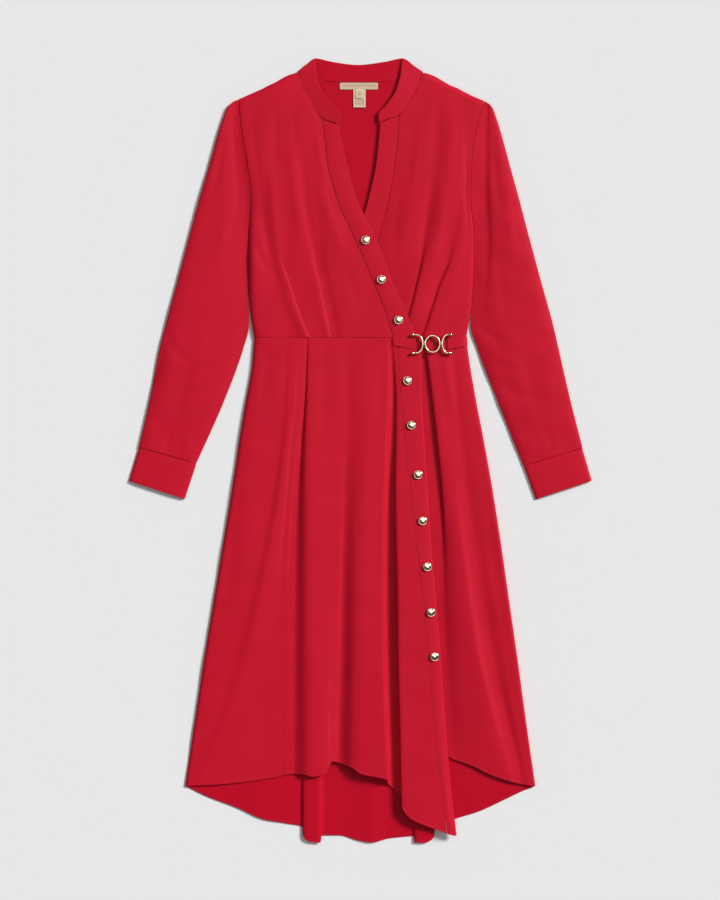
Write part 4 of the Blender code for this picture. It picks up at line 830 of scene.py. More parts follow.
def shell(name, grid, wanted, material, node, creases=(), grooves=(), seed=1, amount=0.0, thickness=CLOTH):
    """A cloth shell: the grid moved out to both sides by half its thickness,
    which falls in a quarter circle to a thin rim at each edge.  Creases and
    stitch grooves sink or raise the cloth before it gets its thickness."""
    down = distances(grid, axis=1)
    total = wanted[-1]
    length = down[:, -1:]
    free = np.clip((grid[..., 2] - FLOOR_LAYER) / CREASE_REST, 0, 1)
    lift = crease_lift(grid[..., 0], grid[..., 1], creases)
    lift += unevenness(grid[..., 0], grid[..., 1], seed, amount)
    for groove in grooves:
        place = {"first": wanted, "last": total - wanted, "top": down, "end": length - down}[groove.side]
        lift -= groove.depth * np.exp(-((place - groove.inset) / GROOVE_WIDTH) ** 2)
    grid = grid.copy()
    grid[..., 2] += lift * free
    normal = grid_normals(grid)
    half = np.full(grid.shape[:2], thickness / 2)
    for place in (wanted, total - wanted, down, length - down):
        share = np.clip(place / EDGE_ROUND, 0, 1)
        half *= RIM / thickness + (1 - RIM / thickness) * quarter_circle(share)
    upper = grid + normal * half[..., None]
    lower = grid - normal * half[..., None]
    points = np.concatenate([upper.reshape(-1, 3), lower.reshape(-1, 3)])
    points[:, 2] = np.maximum(points[:, 2], LOWEST)
    columns, rows = grid.shape[:2]
    faces = np.concatenate([
        grid_faces(columns, rows),
        grid_faces(columns, rows, columns * rows, flip=True),
        rim_faces(columns, rows)[:, ::-1],
    ])
    flat = np.stack([wanted * MM, -down * MM], axis=-1).reshape(-1, 2)
    made = mesh_object(name, points, faces, material, uv=np.concatenate([flat, flat]))
    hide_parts(node)
    sides = np.linalg.norm(np.diff(grid, axis=0), axis=2)[:, :-1]
    drops = np.linalg.norm(np.diff(grid, axis=1), axis=2)[:-1]
    cut = (float(total.max() * MM), float(length.max() * MM))
    area = min(float((sides * drops).sum() * MM * MM), FULL_SHARE * cut[0] * cut[1])
    return made, Cloth(grid, normal, half, wanted), cut, area


# ---------------------------------------------------------------- sewing

def stitch_template():
    """One stitch: a short thread that bows up in its middle and dips at both
    ends, with five sides and five rings."""
    along = np.linspace(-1, 1, 5)
    around = circle(5)
    radius = STITCH_RADIUS * np.array([0.35, 0.9, 1.0, 0.9, 0.35])
    lift = STITCH_BOW * (1 - along ** 2) - STITCH_DIP
    x = np.repeat(along * STITCH_LENGTH / 2, 5)
    y = (radius[:, None] * np.cos(around)).ravel()
    z = (lift[:, None] + radius[:, None] * np.sin(around)).ravel()
    faces = ring_faces(5, 5)
    caps = np.array([[2, 1, 0], [3, 2, 0], [4, 3, 0], [20, 21, 22], [20, 22, 23], [20, 23, 24]])
    triangles = np.concatenate([faces[:, [0, 1, 2]], faces[:, [0, 2, 3]], caps])
    return np.stack([x, y, z], axis=1), triangles


def sew(name, runs, material):
    """Topstitching: the stitch repeated at an even pitch along each run of
    surface points and normals, all joined as one mesh."""
    template, triangles = stitch_template()
    points = []
    for path, normal in runs:
        arc = distances(path)
        places = np.arange(STITCH_PITCH / 2, arc[-1], STITCH_PITCH)
        centre, ahead, behind = (
            np.column_stack([np.interp(places + step, arc, path[:, k]) for k in range(3)])
            for step in (0, STITCH_LOOK, -STITCH_LOOK))
        up = np.column_stack([np.interp(places, arc, normal[:, k]) for k in range(3)])
        way = unit(ahead - behind)
        side = unit(np.cross(up, way))
        up = np.cross(way, side)
        placed = (centre[:, None] + template[None, :, :1] * way[:, None]
                  + template[None, :, 1:2] * side[:, None] + template[None, :, 2:] * up[:, None])
        points.append(placed)
    points = np.concatenate(points)
    faces = (triangles[None] + np.arange(len(points))[:, None, None] * len(template)).reshape(-1, 3)
    mesh_object(name, points.reshape(-1, 3), faces, material)


def run_beside(cloth, side, inset):
    """A stitch line at an even distance in from one long edge of a piece."""
    grid, normal, half, wanted = cloth
    total = wanted[-1]
    asked = np.full((1, grid.shape[1]), inset) if side == "first" else (total - inset)[None]
    values = np.concatenate([grid + normal * half[..., None], normal], axis=2)
    line = at_arc(wanted, values, asked)[0]
    return line[:, :3], line[:, 3:]


def run_across(cloth, side, inset, first=0.0, last=1.0):
    """A stitch line across a piece at an even distance from its top or end."""
    grid, normal, half, _ = cloth
    down = distances(grid, axis=1)
    place = down if side == "top" else down[:, -1:] - down
    row = int(np.abs(place.mean(axis=0) - inset).argmin())
    begin, stop = (int(round(share * (len(grid) - 1))) for share in (first, last))
    surface = (grid + normal * half[..., None])[begin:stop + 1, row]
    return surface, normal[begin:stop + 1, row]


# ---------------------------------------------------------------- finishes

MIX_FIRST, MIX_SECOND, MIX_COLOUR = 6, 7, 2      # the colour sockets of a Mix node
PAPER = (0.80, 0.80, 0.805, 1.0)
RED = (0.52, 0.0008, 0.018, 1.0)
REVERSE = (0.49, 0.0005, 0.016, 1.0)
SHEEN_TINT = (1.0, 0.55, 0.55, 1.0)
# The thread is the cloth's own red, made darker here as painted shade of the dimples along the stitch lines.
THREAD_RED_WITH_PAINTED_SHADE = (0.38, 0.0008, 0.014, 1.0)
THREAD_BROWN = (0.20, 0.13, 0.07, 1.0)
GOLD = (0.88, 0.74, 0.50, 1.0)
LABEL_EDGE = (0.70, 0.64, 0.42, 1.0)
LABEL_MIDDLE = (0.60, 0.42, 0.29, 1.0)


def new_material(name):
    """An empty Principled material, its node tree and its shader."""
    made = bpy.data.materials.new(name)
    made.use_nodes = True
    tree = made.node_tree
    shader = next(n for n in tree.nodes if n.type == "BSDF_PRINCIPLED")
    return made, tree, shader


def set_inputs(node, values):
    """Constant values on a node's own sockets."""
    for socket, value in values.items():
        node.inputs[socket].default_value = value


def feed(tree, socket, value):
    """Another node's output, or a constant, put into a socket."""
    if isinstance(value, bpy.types.NodeSocket):
        tree.links.new(value, socket)
    else:
        socket.default_value = value


def pattern(tree, source, scale, detail=2.0, stretch=(1, 1, 1)):
    """A noise pattern on the given coordinates."""
    mapping = tree.nodes.new("ShaderNodeMapping")
    set_inputs(mapping, {"Scale": stretch})
    tree.links.new(source, mapping.inputs["Vector"])
    noise = tree.nodes.new("ShaderNodeTexNoise")
    set_inputs(noise, {"Scale": scale, "Detail": detail})
    tree.links.new(mapping.outputs["Vector"], noise.inputs["Vector"])
    return noise.outputs["Fac"]


def spread(tree, value, low, high, start=0.25, stop=0.75):
    """A value between start and stop spread between low and high."""
    node = tree.nodes.new("ShaderNodeMapRange")
    set_inputs(node, {"From Min": start, "From Max": stop, "To Min": low, "To Max": high})
    tree.links.new(value, node.inputs["Value"])
    return node.outputs["Result"]


def combine(tree, kind, first, second):
    """A math node of two values, either of which may be a number."""
    node = tree.nodes.new("ShaderNodeMath")
    node.operation = kind
    feed(tree, node.inputs[0], first)
    feed(tree, node.inputs[1], second)
    return node.outputs["Value"]


def blended(tree, kind, factor, first, second):
    """Two colours blended in the given way."""
    node = tree.nodes.new("ShaderNodeMix")
    node.data_type = "RGBA"
    node.blend_type = kind
    feed(tree, node.inputs["Factor"], factor)
    feed(tree, node.inputs[MIX_FIRST], first)
    feed(tree, node.inputs[MIX_SECOND], second)
    return node.outputs[MIX_COLOUR]


def paint(tree, shader, colour, shade):
    """A colour times a shade value, as a shader's base colour."""
    tree.links.new(blended(tree, "MULTIPLY", 1.0, colour, shade), shader.inputs["Base Color"])


def relief(tree, shader, height, strength, distance):
    """A height value as fine relief on a shader."""
    node = tree.nodes.new("ShaderNodeBump")
    set_inputs(node, {"Strength": strength, "Distance": distance})
    tree.links.new(height, node.inputs["Height"])
    tree.links.new(node.outputs["Normal"], shader.inputs["Normal"])


def crepe(name, colour, sheen, specular):
    """Fine crepe: a pebbly surface of tightly twisted threads, warp and weft in
    two stretched noises, with a faint cloudiness of the dye."""
    made, tree, shader = new_material(name)
    cloth = tree.nodes.new("ShaderNodeTexCoord").outputs["UV"]
    warp = pattern(tree, cloth, 1000, 2.0, (2.4, 0.5, 1))
    weft = pattern(tree, cloth, 1000, 2.0, (0.5, 2.4, 1))
    pebble = pattern(tree, cloth, 850, 3.0)
    cloud = pattern(tree, cloth, 14, 3.0)
    threads = combine(tree, "ADD", combine(tree, "MULTIPLY", warp, 0.5),
                      combine(tree, "MULTIPLY", weft, 0.5))
    shade = combine(tree, "MULTIPLY", spread(tree, pebble, 0.965, 1.03), spread(tree, cloud, 0.975, 1.02))
    paint(tree, shader, colour, shade)
    tree.links.new(spread(tree, threads, 0.56, 0.68), shader.inputs["Roughness"])
    relief(tree, shader, combine(tree, "ADD", threads, pebble), 0.35, 0.00012)
    set_inputs(shader, {"Specular IOR Level": specular, "Sheen Weight": sheen, "Sheen Roughness": 0.45,
                        "Sheen Tint": SHEEN_TINT})
    return made


def thread_finish(name, colour):
    """Polyester sewing thread."""
    made, tree, shader = new_material(name)
    place = tree.nodes.new("ShaderNodeTexCoord").outputs["Object"]
    twist = pattern(tree, place, 2600)
    paint(tree, shader, colour, spread(tree, twist, 0.88, 1.08))
    tree.links.new(spread(tree, twist, 0.45, 0.6), shader.inputs["Roughness"])
    set_inputs(shader, {"Sheen Weight": 0.1})
    return made


def pale_gold(name):
    """Polished pale gold plating, with a faint unevenness and fine wear."""
    made, tree, shader = new_material(name)
    place = tree.nodes.new("ShaderNodeTexCoord").outputs["Object"]
    wave = pattern(tree, place, 160, 3.0)
    fine = pattern(tree, place, 1500, 3.0)
    shade = combine(tree, "MULTIPLY", spread(tree, wave, 0.94, 1.03), spread(tree, fine, 0.97, 1.02))
    paint(tree, shader, GOLD, shade)
    tree.links.new(spread(tree, fine, 0.06, 0.12), shader.inputs["Roughness"])
    relief(tree, shader, wave, 0.12, 0.0002)
    set_inputs(shader, {"Metallic": 1.0})
    return made


def label_colours(tree, flat, width, length):
    """A label's brown middle inside its paler border, on its flat coordinates:
    the colour changes with the distance to the nearest edge."""
    split = tree.nodes.new("ShaderNodeSeparateXYZ")
    tree.links.new(flat, split.inputs["Vector"])
    across, down = split.outputs["X"], combine(tree, "MULTIPLY", split.outputs["Y"], -1.0)
    beside = combine(tree, "MINIMUM", across, combine(tree, "SUBTRACT", width * MM, across))
    below = combine(tree, "MINIMUM", down, combine(tree, "SUBTRACT", length * MM, down))
    inside = spread(tree, combine(tree, "MINIMUM", beside, below), 0.0, 1.0,
                    (LABEL_BORDER - LABEL_BLEND) * MM, (LABEL_BORDER + LABEL_BLEND) * MM)
    return blended(tree, "MIX", inside, LABEL_EDGE, LABEL_MIDDLE)


def woven_label(name, width, length):
    """Satin-woven label ribbon: fine ribs across inside a paler woven border."""
    made, tree, shader = new_material(name)
    coordinates = tree.nodes.new("ShaderNodeTexCoord")
    place = coordinates.outputs["Object"]
    rib = pattern(tree, place, 900, 2.0, (0.35, 3.0, 1))
    warp = pattern(tree, place, 900, 2.0, (3.0, 0.35, 1))
    threads = combine(tree, "ADD", rib, warp)
    cloud = pattern(tree, place, 60)
    shade = combine(tree, "MULTIPLY", spread(tree, combine(tree, "MULTIPLY", threads, 0.5), 0.86, 1.08),
                    spread(tree, cloud, 0.93, 1.04))
    paint(tree, shader, label_colours(tree, coordinates.outputs["UV"], width, length), shade)
    tree.links.new(spread(tree, rib, 0.5, 0.7), shader.inputs["Roughness"])
    relief(tree, shader, threads, 0.5, 0.0001)
    set_inputs(shader, {"Sheen Weight": 0.2})
    return made


def pale_paper(name):
    """Matt pale paper for the floor, with a barely seen grain."""
    made, tree, shader = new_material(name)
    grain = pattern(tree, tree.nodes.new("ShaderNodeTexCoord").outputs["Object"], 700)
    paint(tree, shader, PAPER, spread(tree, grain, 0.995, 1.005))
    set_inputs(shader, {"Roughness": 0.9, "Specular IOR Level": 0.1})
    return made


# ---------------------------------------------------------------- cloth pieces

SHOULDER_TURN = 8.0       # along a shoulder, over which the front turns down
BACK_SKIRT_LENGTH = 800   # along which its rows are spaced


def table_shell(name, node, folds, levels, material, rests_on, grooves=(), shoulder=None, *, length, **more):
    """A cloth shell from a table of fold lines.  Those that start at a shoulder
    first turn down to the layer below, in a quarter ellipse."""
    lines = fold_lines(folds, levels, rows_down(length))
    if shoulder:
        share = np.clip((lines[shoulder, :1, 1] - lines[shoulder, :, 1]) / SHOULDER_TURN, 0, 1)
        low = np.minimum(lines[shoulder, :, 2], EDGE_LAYER)
        lines[shoulder, :, 2] = low + (lines[shoulder, :, 2] - low) * quarter_circle(share)
    return finish_shell(name, node, lines, material, rests_on, grooves, **more)


def finish_shell(name, node, lines, material, rests_on, grooves=(), spacing=COLUMN_SPACING, **more):
    """The shell on the given fold lines."""
    sides = [groove for groove in grooves if groove.side in ("first", "last")]
    grid, wanted = lay_columns(lines, spacing, sides)
    made, cloth, cut, area = shell(name, grid, wanted, material, node, grooves=grooves, **more)
    return cloth


def back_skirt_lines():
    """Fan-shaped lines from waist to hem, flat on the floor, with the laps of
    the hem lifting in an S-curve towards the end."""
    rows = rows_down(BACK_SKIRT_LENGTH)
    first, last = BACK_HEM[0], BACK_HEM[-1]
    lines = []
    for point in BACK_HEM:
        share = (point.across - first.across) / (last.across - first.across)
        y = (WAIST_Y - SEAM_GAP) + rows * (point.end - WAIST_Y + SEAM_GAP)
        beside = np.maximum(y, first.end)
        left = through(SKIRT_LEVELS, SKIRT_SIDE_LEFT, beside)
        right = through(SKIRT_LEVELS, SKIRT_SIDE_RIGHT, beside)
        rise = eased(np.clip((HEM_FOLD_TOP - y) / (HEM_FOLD_TOP - HEM_FOLD_FULL), 0, 1))
        z = FLOOR_LAYER + point.lift * rise
        lines.append(np.column_stack([left + share * (right - left), y, z]))
    return np.array(lines)


def sleeve_lines(inner, outer, ends, rings):
    """Lines round a flattened sleeve, each at its share of the way from the
    inner to the outer edge, under a cap that curves down to the outer edge.
    Just before the cuff both layers draw together and the sleeve narrows, so
    that its end sits inside the cuff."""
    inner = np.array(inner)
    outer = np.array(outer)
    top_inner, top_outer, end_inner, end_outer = ends
    folds = [Fold(ring.line, top_inner + ring.share[1] ** 2 * (top_outer - top_inner),
                  end_inner - SLEEVE_TUCK + ring.share[-1] * (end_outer - end_inner),
                  tuple(inner + np.array(ring.share) * (outer - inner)), ring.height) for ring in rings]
    before_cuff = 1 - (SLEEVE_TUCK + np.array(TUCK_STEPS)) / SLEEVE_LENGTH
    rows = np.unique(np.concatenate([rows_down(SLEEVE_LENGTH), before_cuff]))
    lines = fold_lines(folds, SLEEVE_LEVELS, rows)
    blend = eased(np.clip((TUCK_BLEND + SLEEVE_TUCK - (1 - rows) * SLEEVE_LENGTH) / TUCK_BLEND, 0, 1))
    middle = 0.5 * (lines[0, :, 0] + lines[[ring.line for ring in rings].index("outer edge"), :, 0])
    lines[..., 0] -= TUCK_NARROWING * blend * np.tanh((lines[..., 0] - middle) / TUCK_SPREAD)
    lines[..., 2] += blend * (np.clip(lines[..., 2], TUCK_LOW, TUCK_HIGH) - lines[..., 2])
    return lines


def cuff_lines(corners):
    """Lines round a flattened cuff, straight between its four corners."""
    rows = rows_down(CUFF_LENGTH, CUFF_SPACING)[:, None]
    outer, inner = (np.array(top) + rows * (np.array(end) - np.array(top))
                    for top, end in (corners["outer"], corners["inner"]))
    return np.array([np.column_stack([inner + share * (outer - inner), np.full(len(rows), height)])
                     for share, height in CUFF_SECTION])


# ---------------------------------------------------------------- metal and labels

def metal_part(name, node, points, faces, material):
    """A metal piece in place of its node."""
    made = mesh_object(name, points, faces, material)
    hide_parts(node)


def turned(name, node, profile, base, axis, material):
    """A turned piece: a profile of (radius, height) carried round an axis that
    starts at the base point."""
    axis = unit(axis)
    side = unit(np.cross((0.0, 1.0, 0.0), axis))
    other = np.cross(axis, side)
    angle = circle(TURNED_SIDES)
    radius, height = np.array(profile, float).T
    ring = np.cos(angle)[:, None] * side + np.sin(angle)[:, None] * other
    points = (np.array(base) + radius[:, None, None] * ring + height[:, None, None] * axis).reshape(-1, 3)
    faces = ring_faces(len(radius), TURNED_SIDES)[:, [0, 3, 2, 1]]
    metal_part(name, node, points, faces, material)


def button(name, node, place, normal, material):
    """A domed shank button: a low dome, whose height falls with the 2.2th power
    of its radius, a fine groove, a rolled rim and a short shank."""
    dome = [(DOME_RADIUS * share, DOME_TOP - DOME_DROP * share ** 2.2)
            for share in np.linspace(0, 1, DOME_STEPS + 1)[1:]]
    profile = [(0.02, DOME_TOP)] + dome + BUTTON_RIM + BUTTON_SHANK
    turned(name, node, profile, place, normal, material)


def tube(name, node, path, radii, material, closed=False):
    """A cast rod: circles of the given radii carried along a path that lies at
    one height, turned square to the path's own direction."""
    if closed:
        way = np.roll(path, -1, axis=0) - np.roll(path, 1, axis=0)
    else:
        way = np.gradient(path, axis=0)
    up = np.array([0.0, 0.0, 1.0])
    side = np.cross(up, unit(way))
    angle = circle(TUBE_SIDES)
    points = (path[:, None] + radii[:, None, None] * (np.cos(angle)[None, :, None] * side[:, None]
                                                      + np.sin(angle)[None, :, None] * up))
    metal_part(name, node, points.reshape(-1, 3), ring_faces(len(path), TUBE_SIDES, closed), material)


def hook(name, node, apex_x, ball_x, material):
    """A C-shaped hook: half of a rounded loop.  Each end carries a ridge, a bell
    on the rod, and a ball, an ellipse turned about the rod."""
    reach = math.copysign(1.0, ball_x - apex_x)
    angle = np.linspace(-1, 1, BEND_STEPS) * math.pi / 2
    bend_x = ball_x + (apex_x - ball_x) * np.cos(angle) ** 0.8
    bend_y = CLASP_Y + HOOK_HALF_HEIGHT * np.sin(angle)
    along = np.linspace(*TAIL, TAIL_STEPS)
    ridge = np.exp(-((along - RIDGE_AT) / RIDGE_WIDTH) ** 2) * RIDGE_RISE
    ball = np.sqrt(np.maximum(1 - ((along - BALL_AT) / BALL_HALF_LENGTH) ** 2, 0)) * BALL_RADIUS
    swell = np.maximum(np.where(along < ROD_END, CLASP_ROD + ridge, TIP_RADIUS), ball)
    tail_x = ball_x + reach * along
    low = np.column_stack([tail_x[::-1], np.full(TAIL_STEPS, CLASP_Y - HOOK_HALF_HEIGHT)])
    high = np.column_stack([tail_x, np.full(TAIL_STEPS, CLASP_Y + HOOK_HALF_HEIGHT)])
    path = np.concatenate([low, np.column_stack([bend_x, bend_y]), high])
    path = np.column_stack([path, np.full(len(path), CLASP_Z)])
    thick = CLASP_ROD * (1.0 + 0.18 * np.cos(angle) ** 6)
    tube(name, node, path, np.concatenate([swell[::-1], thick, swell]), material)


def oval_ring(name, node, material):
    """The plain oval ring between the hooks."""
    angle = circle(RING_STEPS)
    path = np.column_stack([RING_X + RING_HALF_WIDTH * np.cos(angle),
                            CLASP_Y + RING_HALF_HEIGHT * np.sin(angle), np.full(RING_STEPS, CLASP_Z)])
    tube(name, node, path, CLASP_ROD * (1.0 + 0.12 * np.cos(angle) ** 4), material, closed=True)


def label(shape):
    """A woven label: a thin rounded slab that waves slightly and stands up a
    little towards its free end."""
    name, node, left, right, top, end, height, rise = shape
    material = woven_label(name.replace("ribbon", "weave"), right - left, top - end)
    columns = rows_down(right - left, LABEL_SPACING) * (right - left) + left
    rows = top - rows_down(top - end, LABEL_SPACING) * (top - end)
    x, y = np.meshgrid(columns, rows, indexing="ij")
    wave = np.sin((x - left) * 0.21) * np.cos((y - end) * 0.3)
    z = height + rise * (top - y) / (top - end) + LABEL_WAVE * wave
    grid = np.stack([x, y, z], axis=-1)
    wanted = np.repeat((columns - left)[:, None], len(rows), axis=1)
    made, cloth, cut, area = shell(name, grid, wanted, material, node, thickness=LABEL_THICKNESS)
    return cloth


def on_top(cloth, x, y):
    """The point of a piece's upper face over (x, y) and its normal there."""
    surface = cloth.grid + cloth.normal * cloth.half[..., None]
    gap = (surface[..., 0] - x) ** 2 + (surface[..., 1] - y) ** 2
    gap = np.where(cloth.normal[..., 2] > 0.5, gap, np.inf)
    column, row = np.unravel_index(gap.argmin(), gap.shape)
    near = (slice(max(column - 2, 0), column + 3), slice(max(row - 2, 0), row + 3))
    normal = cloth.normal[near].reshape(-1, 3).mean(axis=0)
    point = surface[column, row]
    height = point[2] - (normal[0] * (x - point[0]) + normal[1] * (y - point[1])) / normal[2]
    return np.array([x, y, height]), unit(normal)


def run_between(cloth, start, end):
    """A stitch line straight from one place to another on a piece's upper face."""
    spots = [on_top(cloth, x, y) for x, y in np.linspace(start, end, RUN_POINTS)]
    points, normals = (np.array(part) for part in zip(*spots))
    return points, normals


# ---------------------------------------------------------------- the dress

face_side = crepe("red_crepe_face", RED, sheen=0.03, specular=0.14)
wrong_side = crepe("red_crepe_reverse", REVERSE, sheen=0.02, specular=0.08)
# The red thread's colour carries painted shade: it is darker than the cloth it matches.
red_thread_with_painted_shade = thread_finish("red_thread_with_painted_shade", THREAD_RED_WITH_PAINTED_SHADE)
gold = pale_gold("pale_gold_plate")
label_thread = thread_finish("label_thread", THREAD_BROWN)

# Dips along the stitch lines of the pieces.
hem_groove = Groove("end", HEM_INSET, 0.25)
seam_groove = Groove("first", SEAM_INSET, 0.22)
edge_groove = Groove("last", SEAM_INSET, 0.16)
shoulder_groove = Groove("top", SHOULDER_INSET, 0.2)
cuff_groove = Groove("top", SEAM_INSET, 0.15)

back_skirt = finish_shell(
    "back_skirt_cloth", "back_skirt", back_skirt_lines(), wrong_side, (),
    [Groove("end", HEM_INSET, 0.22)], spacing=4.0, seed=11, amount=0.2)
table_shell(
    "back_bodice_cloth", "back_bodice", BACK_NECK, BODICE_LEVELS, wrong_side, (),
    length=410, spacing=4.0, seed=12)
skirt_left = table_shell(
    "front_skirt_left_cloth", "front_skirt_left", SKIRT_WRAP, SKIRT_LEVELS, face_side,
    ["back_skirt"], [hem_groove], length=715, creases=SKIRT_LEFT_CREASES, seed=21, amount=1.0)
skirt_band = table_shell(
    "skirt_band_cloth", "placket_skirt", SKIRT_PLACKET, SKIRT_LEVELS, face_side,
    ["front_skirt_right"], [seam_groove, Groove("end", BAND_END_INSET, 0.2)],
    length=793, spacing=2.2, seed=22, amount=0.2)
skirt_right = table_shell(
    "front_skirt_right_cloth", "front_skirt_right", SKIRT_UNDER, SKIRT_LEVELS, face_side,
    ["back_skirt"], [hem_groove], length=700, creases=SKIRT_RIGHT_CREASES, seed=23, amount=1.0)
table_shell(
    "front_bodice_left_cloth", "front_bodice_left", BODICE_LEFT, BODICE_LEVELS, face_side,
    ["back_bodice"], [shoulder_groove], length=400, shoulder=slice(0, 10), seed=31,
    creases=LEFT_BODICE_CREASES, amount=1.4)
bodice_right = table_shell(
    "front_bodice_right_cloth", "front_bodice_right", BODICE_RIGHT, BODICE_LEVELS, face_side,
    ["back_bodice"], [shoulder_groove], length=400, shoulder=slice(3, 16), seed=32,
    creases=RIGHT_BODICE_CREASES, amount=1.4)
bodice_band = table_shell(
    "bodice_band_cloth", "placket_bodice", BODICE_PLACKET, BODICE_LEVELS, face_side,
    ["front_bodice_right"], [seam_groove, edge_groove], length=360, spacing=2.2, seed=33, amount=0.15)
facing = table_shell(
    "right_facing_cloth", "facing_right", FACING, BODICE_LEVELS, face_side,
    ["back_bodice"], [edge_groove], length=345, spacing=2.2, seed=34, amount=0.15)
collar_left = table_shell(
    "collar_left_cloth", "collar_left", COLLAR_LEFT, COLLAR_LEVELS, face_side,
    ["back_bodice"], [seam_groove], length=100, spacing=2.0, seed=41, amount=0.15)
collar_right = table_shell(
    "collar_right_cloth", "collar_right", COLLAR_RIGHT, COLLAR_LEVELS, face_side,
    ["back_bodice"], [Groove("last", SEAM_INSET, 0.18)], length=100, spacing=2.0, seed=42, amount=0.15)
collar_back = table_shell(
    "collar_back_cloth", "collar_back", COLLAR_BACK, COLLAR_BACK_LEVELS, wrong_side, (),
    length=28, spacing=2.2, seed=43)
finish_shell(
    "sleeve_left_cloth", "sleeve_left",
    sleeve_lines(LEFT_INNER, LEFT_OUTER, LEFT_SLEEVE_ENDS, LEFT_SLEEVE),
    face_side, (), spacing=3.2, creases=LEFT_SLEEVE_CREASES, seed=51, amount=1.4)
sleeve_right = finish_shell(
    "sleeve_right_cloth", "sleeve_right",
    sleeve_lines(RIGHT_INNER, RIGHT_OUTER, RIGHT_SLEEVE_ENDS, RIGHT_SLEEVE)[::-1],
    face_side, (), spacing=3.2, creases=RIGHT_SLEEVE_CREASES, seed=52, amount=1.4)
cuff_left = finish_shell(
    "cuff_left_cloth", "cuff_left", cuff_lines(LEFT_CUFF), face_side, (),
    [cuff_groove], spacing=2.4, seed=53, amount=0.1)
cuff_right = finish_shell(
    "cuff_right_cloth", "cuff_right", cuff_lines(RIGHT_CUFF)[::-1], face_side, (),
    [cuff_groove], spacing=2.4, seed=54, amount=0.1)
tab_left = table_shell(
    "belt_tab_left_cloth", "belt_tab_left", TAB_LEFT, TAB_LEVELS, face_side,
    ["front_skirt_left"], [Groove("first", TAB_INSET, 0.25)], length=18, spacing=1.6, seed=61, amount=0.05)
table_shell(
    "belt_tab_right_cloth", "belt_tab_right", TAB_RIGHT, TAB_LEVELS, face_side,
    ["front_skirt_right"], (), length=17, spacing=1.6, seed=62, amount=0.05)

sew("bodice_topstitching",
    [run_beside(bodice_band, "first", SEAM_INSET), run_beside(bodice_band, "last", SEAM_INSET),
     run_beside(facing, "last", SEAM_INSET), run_beside(collar_left, "first", SEAM_INSET),
     run_beside(collar_right, "last", SEAM_INSET)], red_thread_with_painted_shade)
sew("skirt_topstitching",
    [run_beside(skirt_band, "first", SEAM_INSET), run_across(skirt_left, "end", HEM_INSET),
     run_across(skirt_right, "end", HEM_INSET), run_across(back_skirt, "end", HEM_INSET)], red_thread_with_painted_shade)
sew("cuff_topstitching",
    [run_across(cuff_left, "top", SEAM_INSET, 0.0, 0.5),
     run_across(cuff_right, "top", SEAM_INSET, 0.5, 1.0)], red_thread_with_painted_shade)
sew("neck_topstitching", [run_across(collar_back, "end", SEAM_INSET, 0.1, 0.9)], red_thread_with_painted_shade)
sew("tab_topstitching", [run_beside(tab_left, "first", TAB_INSET)], red_thread_with_painted_shade)
# The right shoulder seam, the right sleeve's slit, and a line on the band below the waist.
sew("seam_stitching",
    [run_between(bodice_right, (98, 597.5), (187, 554.5)),
     run_between(sleeve_right, (224, 72), (264, -13)),
     run_between(skirt_band, (87.5, 150), (91, 82))], red_thread_with_painted_shade)

for number, (x, y) in enumerate(BUTTONS_BODICE + BUTTONS_SKIRT, start=1):
    point, normal = on_top(bodice_band if number <= len(BUTTONS_BODICE) else skirt_band, x, y)
    button(f"gold_button_{number:02d}", f"button_{number:02d}", point + normal * BUTTON_LIFT, normal, gold)

hook("left_clasp_hook", "clasp_hook_left", *LEFT_HOOK, gold)
hook("right_clasp_hook", "clasp_hook_right", *RIGHT_HOOK, gold)
oval_ring("oval_clasp_ring", "clasp_ring", gold)

neck_label, care_label, size_tab = (label(shape) for shape in (NECK_LABEL, CARE_LABEL, SIZE_TAB))
sew("label_stitching",
    [run_across(neck_label, "top", LABEL_INSET), run_across(neck_label, "end", LABEL_INSET),
     run_beside(neck_label, "first", LABEL_INSET), run_beside(neck_label, "last", LABEL_INSET),
     run_across(neck_label, "top", 5.3, 0.1, 0.9), run_across(size_tab, "top", 8.0, 0.25, 0.75),
     run_across(care_label, "top", 18.0, 0.2, 0.8), run_across(care_label, "top", 22.5, 0.2, 0.8)],
    label_thread)

# ---------------------------------------------------------------- studio

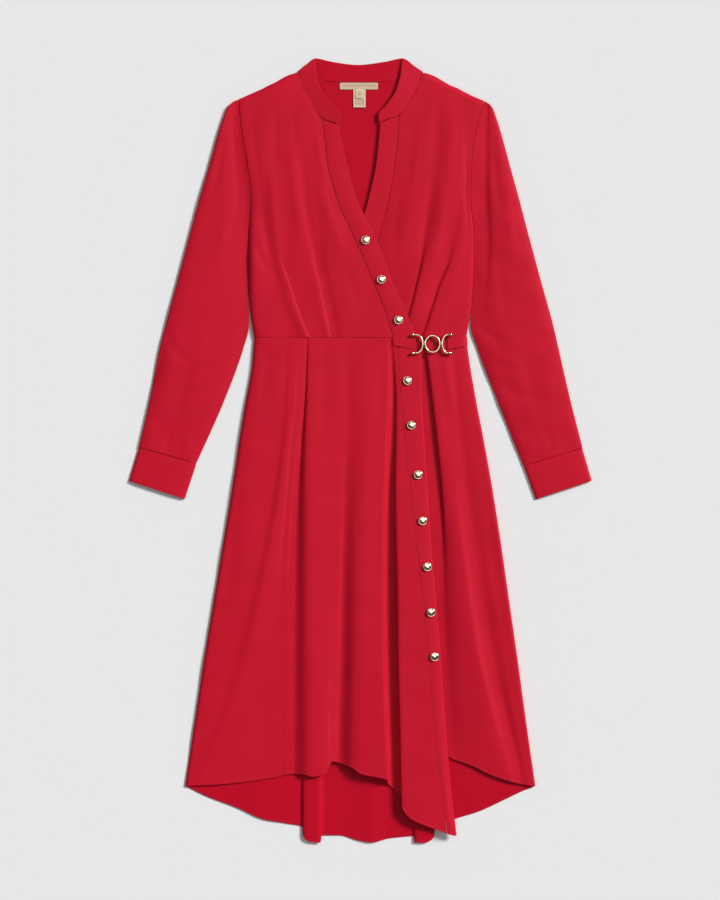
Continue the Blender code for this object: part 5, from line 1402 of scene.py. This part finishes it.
# Places and sizes here are in metres, and the lights' powers in watts.
FLOOR_SIZE = 8
FLOOR_DEPTH = 0.0004      # below the dress, so that the two don't share a plane
AIR = 0.32
AIR_HELD_BACK = 0.22      # as much less of it shows in gloss
KEY_FROM = (0.70, 0.45, 0.58)
KEY_STRENGTH = 3.73
KEY_SPREAD = 16           # degrees
PANEL_PLACE = (0.5, 0.7, 3.2)
PANEL_SIZE = (2.4, 1.8)
PANEL_POWER = 30
CAMERA_PLACE = (-0.0005, 0.0006, 6.0)
CAMERA_LENS = 150
CAMERA_SENSOR = 36


def light(name, kind, power, direction):
    """A lamp turned to shine on the dress from the given direction."""
    lamp = bpy.data.lights.new(name, kind)
    lamp.energy = power
    made = bpy.data.objects.new(name, lamp)
    made.rotation_euler = Vector(direction).to_track_quat("Z", "Y").to_euler()
    bpy.context.scene.collection.objects.link(made)
    return made


bpy.ops.mesh.primitive_plane_add(size=FLOOR_SIZE)
floor = bpy.context.object
floor.name = "studio_floor"
floor.location.z = -FLOOR_DEPTH
floor.data.materials.append(pale_paper("pale_paper"))

world = bpy.data.worlds.new("studio_air")
world.use_nodes = True
air_tree = world.node_tree
air = air_tree.nodes["Background"]
set_inputs(air, {"Color": (1.0, 1.0, 1.0, 1.0)})
in_gloss = air_tree.nodes.new("ShaderNodeLightPath").outputs["Is Glossy Ray"]
held_back = combine(air_tree, "MULTIPLY", in_gloss, AIR_HELD_BACK)
air_tree.links.new(combine(air_tree, "SUBTRACT", AIR, held_back), air.inputs["Strength"])
bpy.context.scene.world = world

key = light("key_light", "SUN", KEY_STRENGTH, KEY_FROM)
key.data.angle = math.radians(KEY_SPREAD)

# The panel is for the metal's gloss, so it gives no diffuse light.
panel = light("panel_light", "AREA", PANEL_POWER, PANEL_PLACE)
panel.location = PANEL_PLACE
panel.data.shape = "RECTANGLE"
panel.data.size, panel.data.size_y = PANEL_SIZE
panel.visible_diffuse = False
panel.visible_camera = False

camera = bpy.data.objects.new("camera", bpy.data.cameras.new("camera"))
camera.data.lens = CAMERA_LENS
camera.data.sensor_width = CAMERA_SENSOR
camera.location = CAMERA_PLACE
bpy.context.scene.collection.objects.link(camera)
bpy.context.scene.camera = camera
bpy.context.scene.view_settings.view_transform = "Standard"
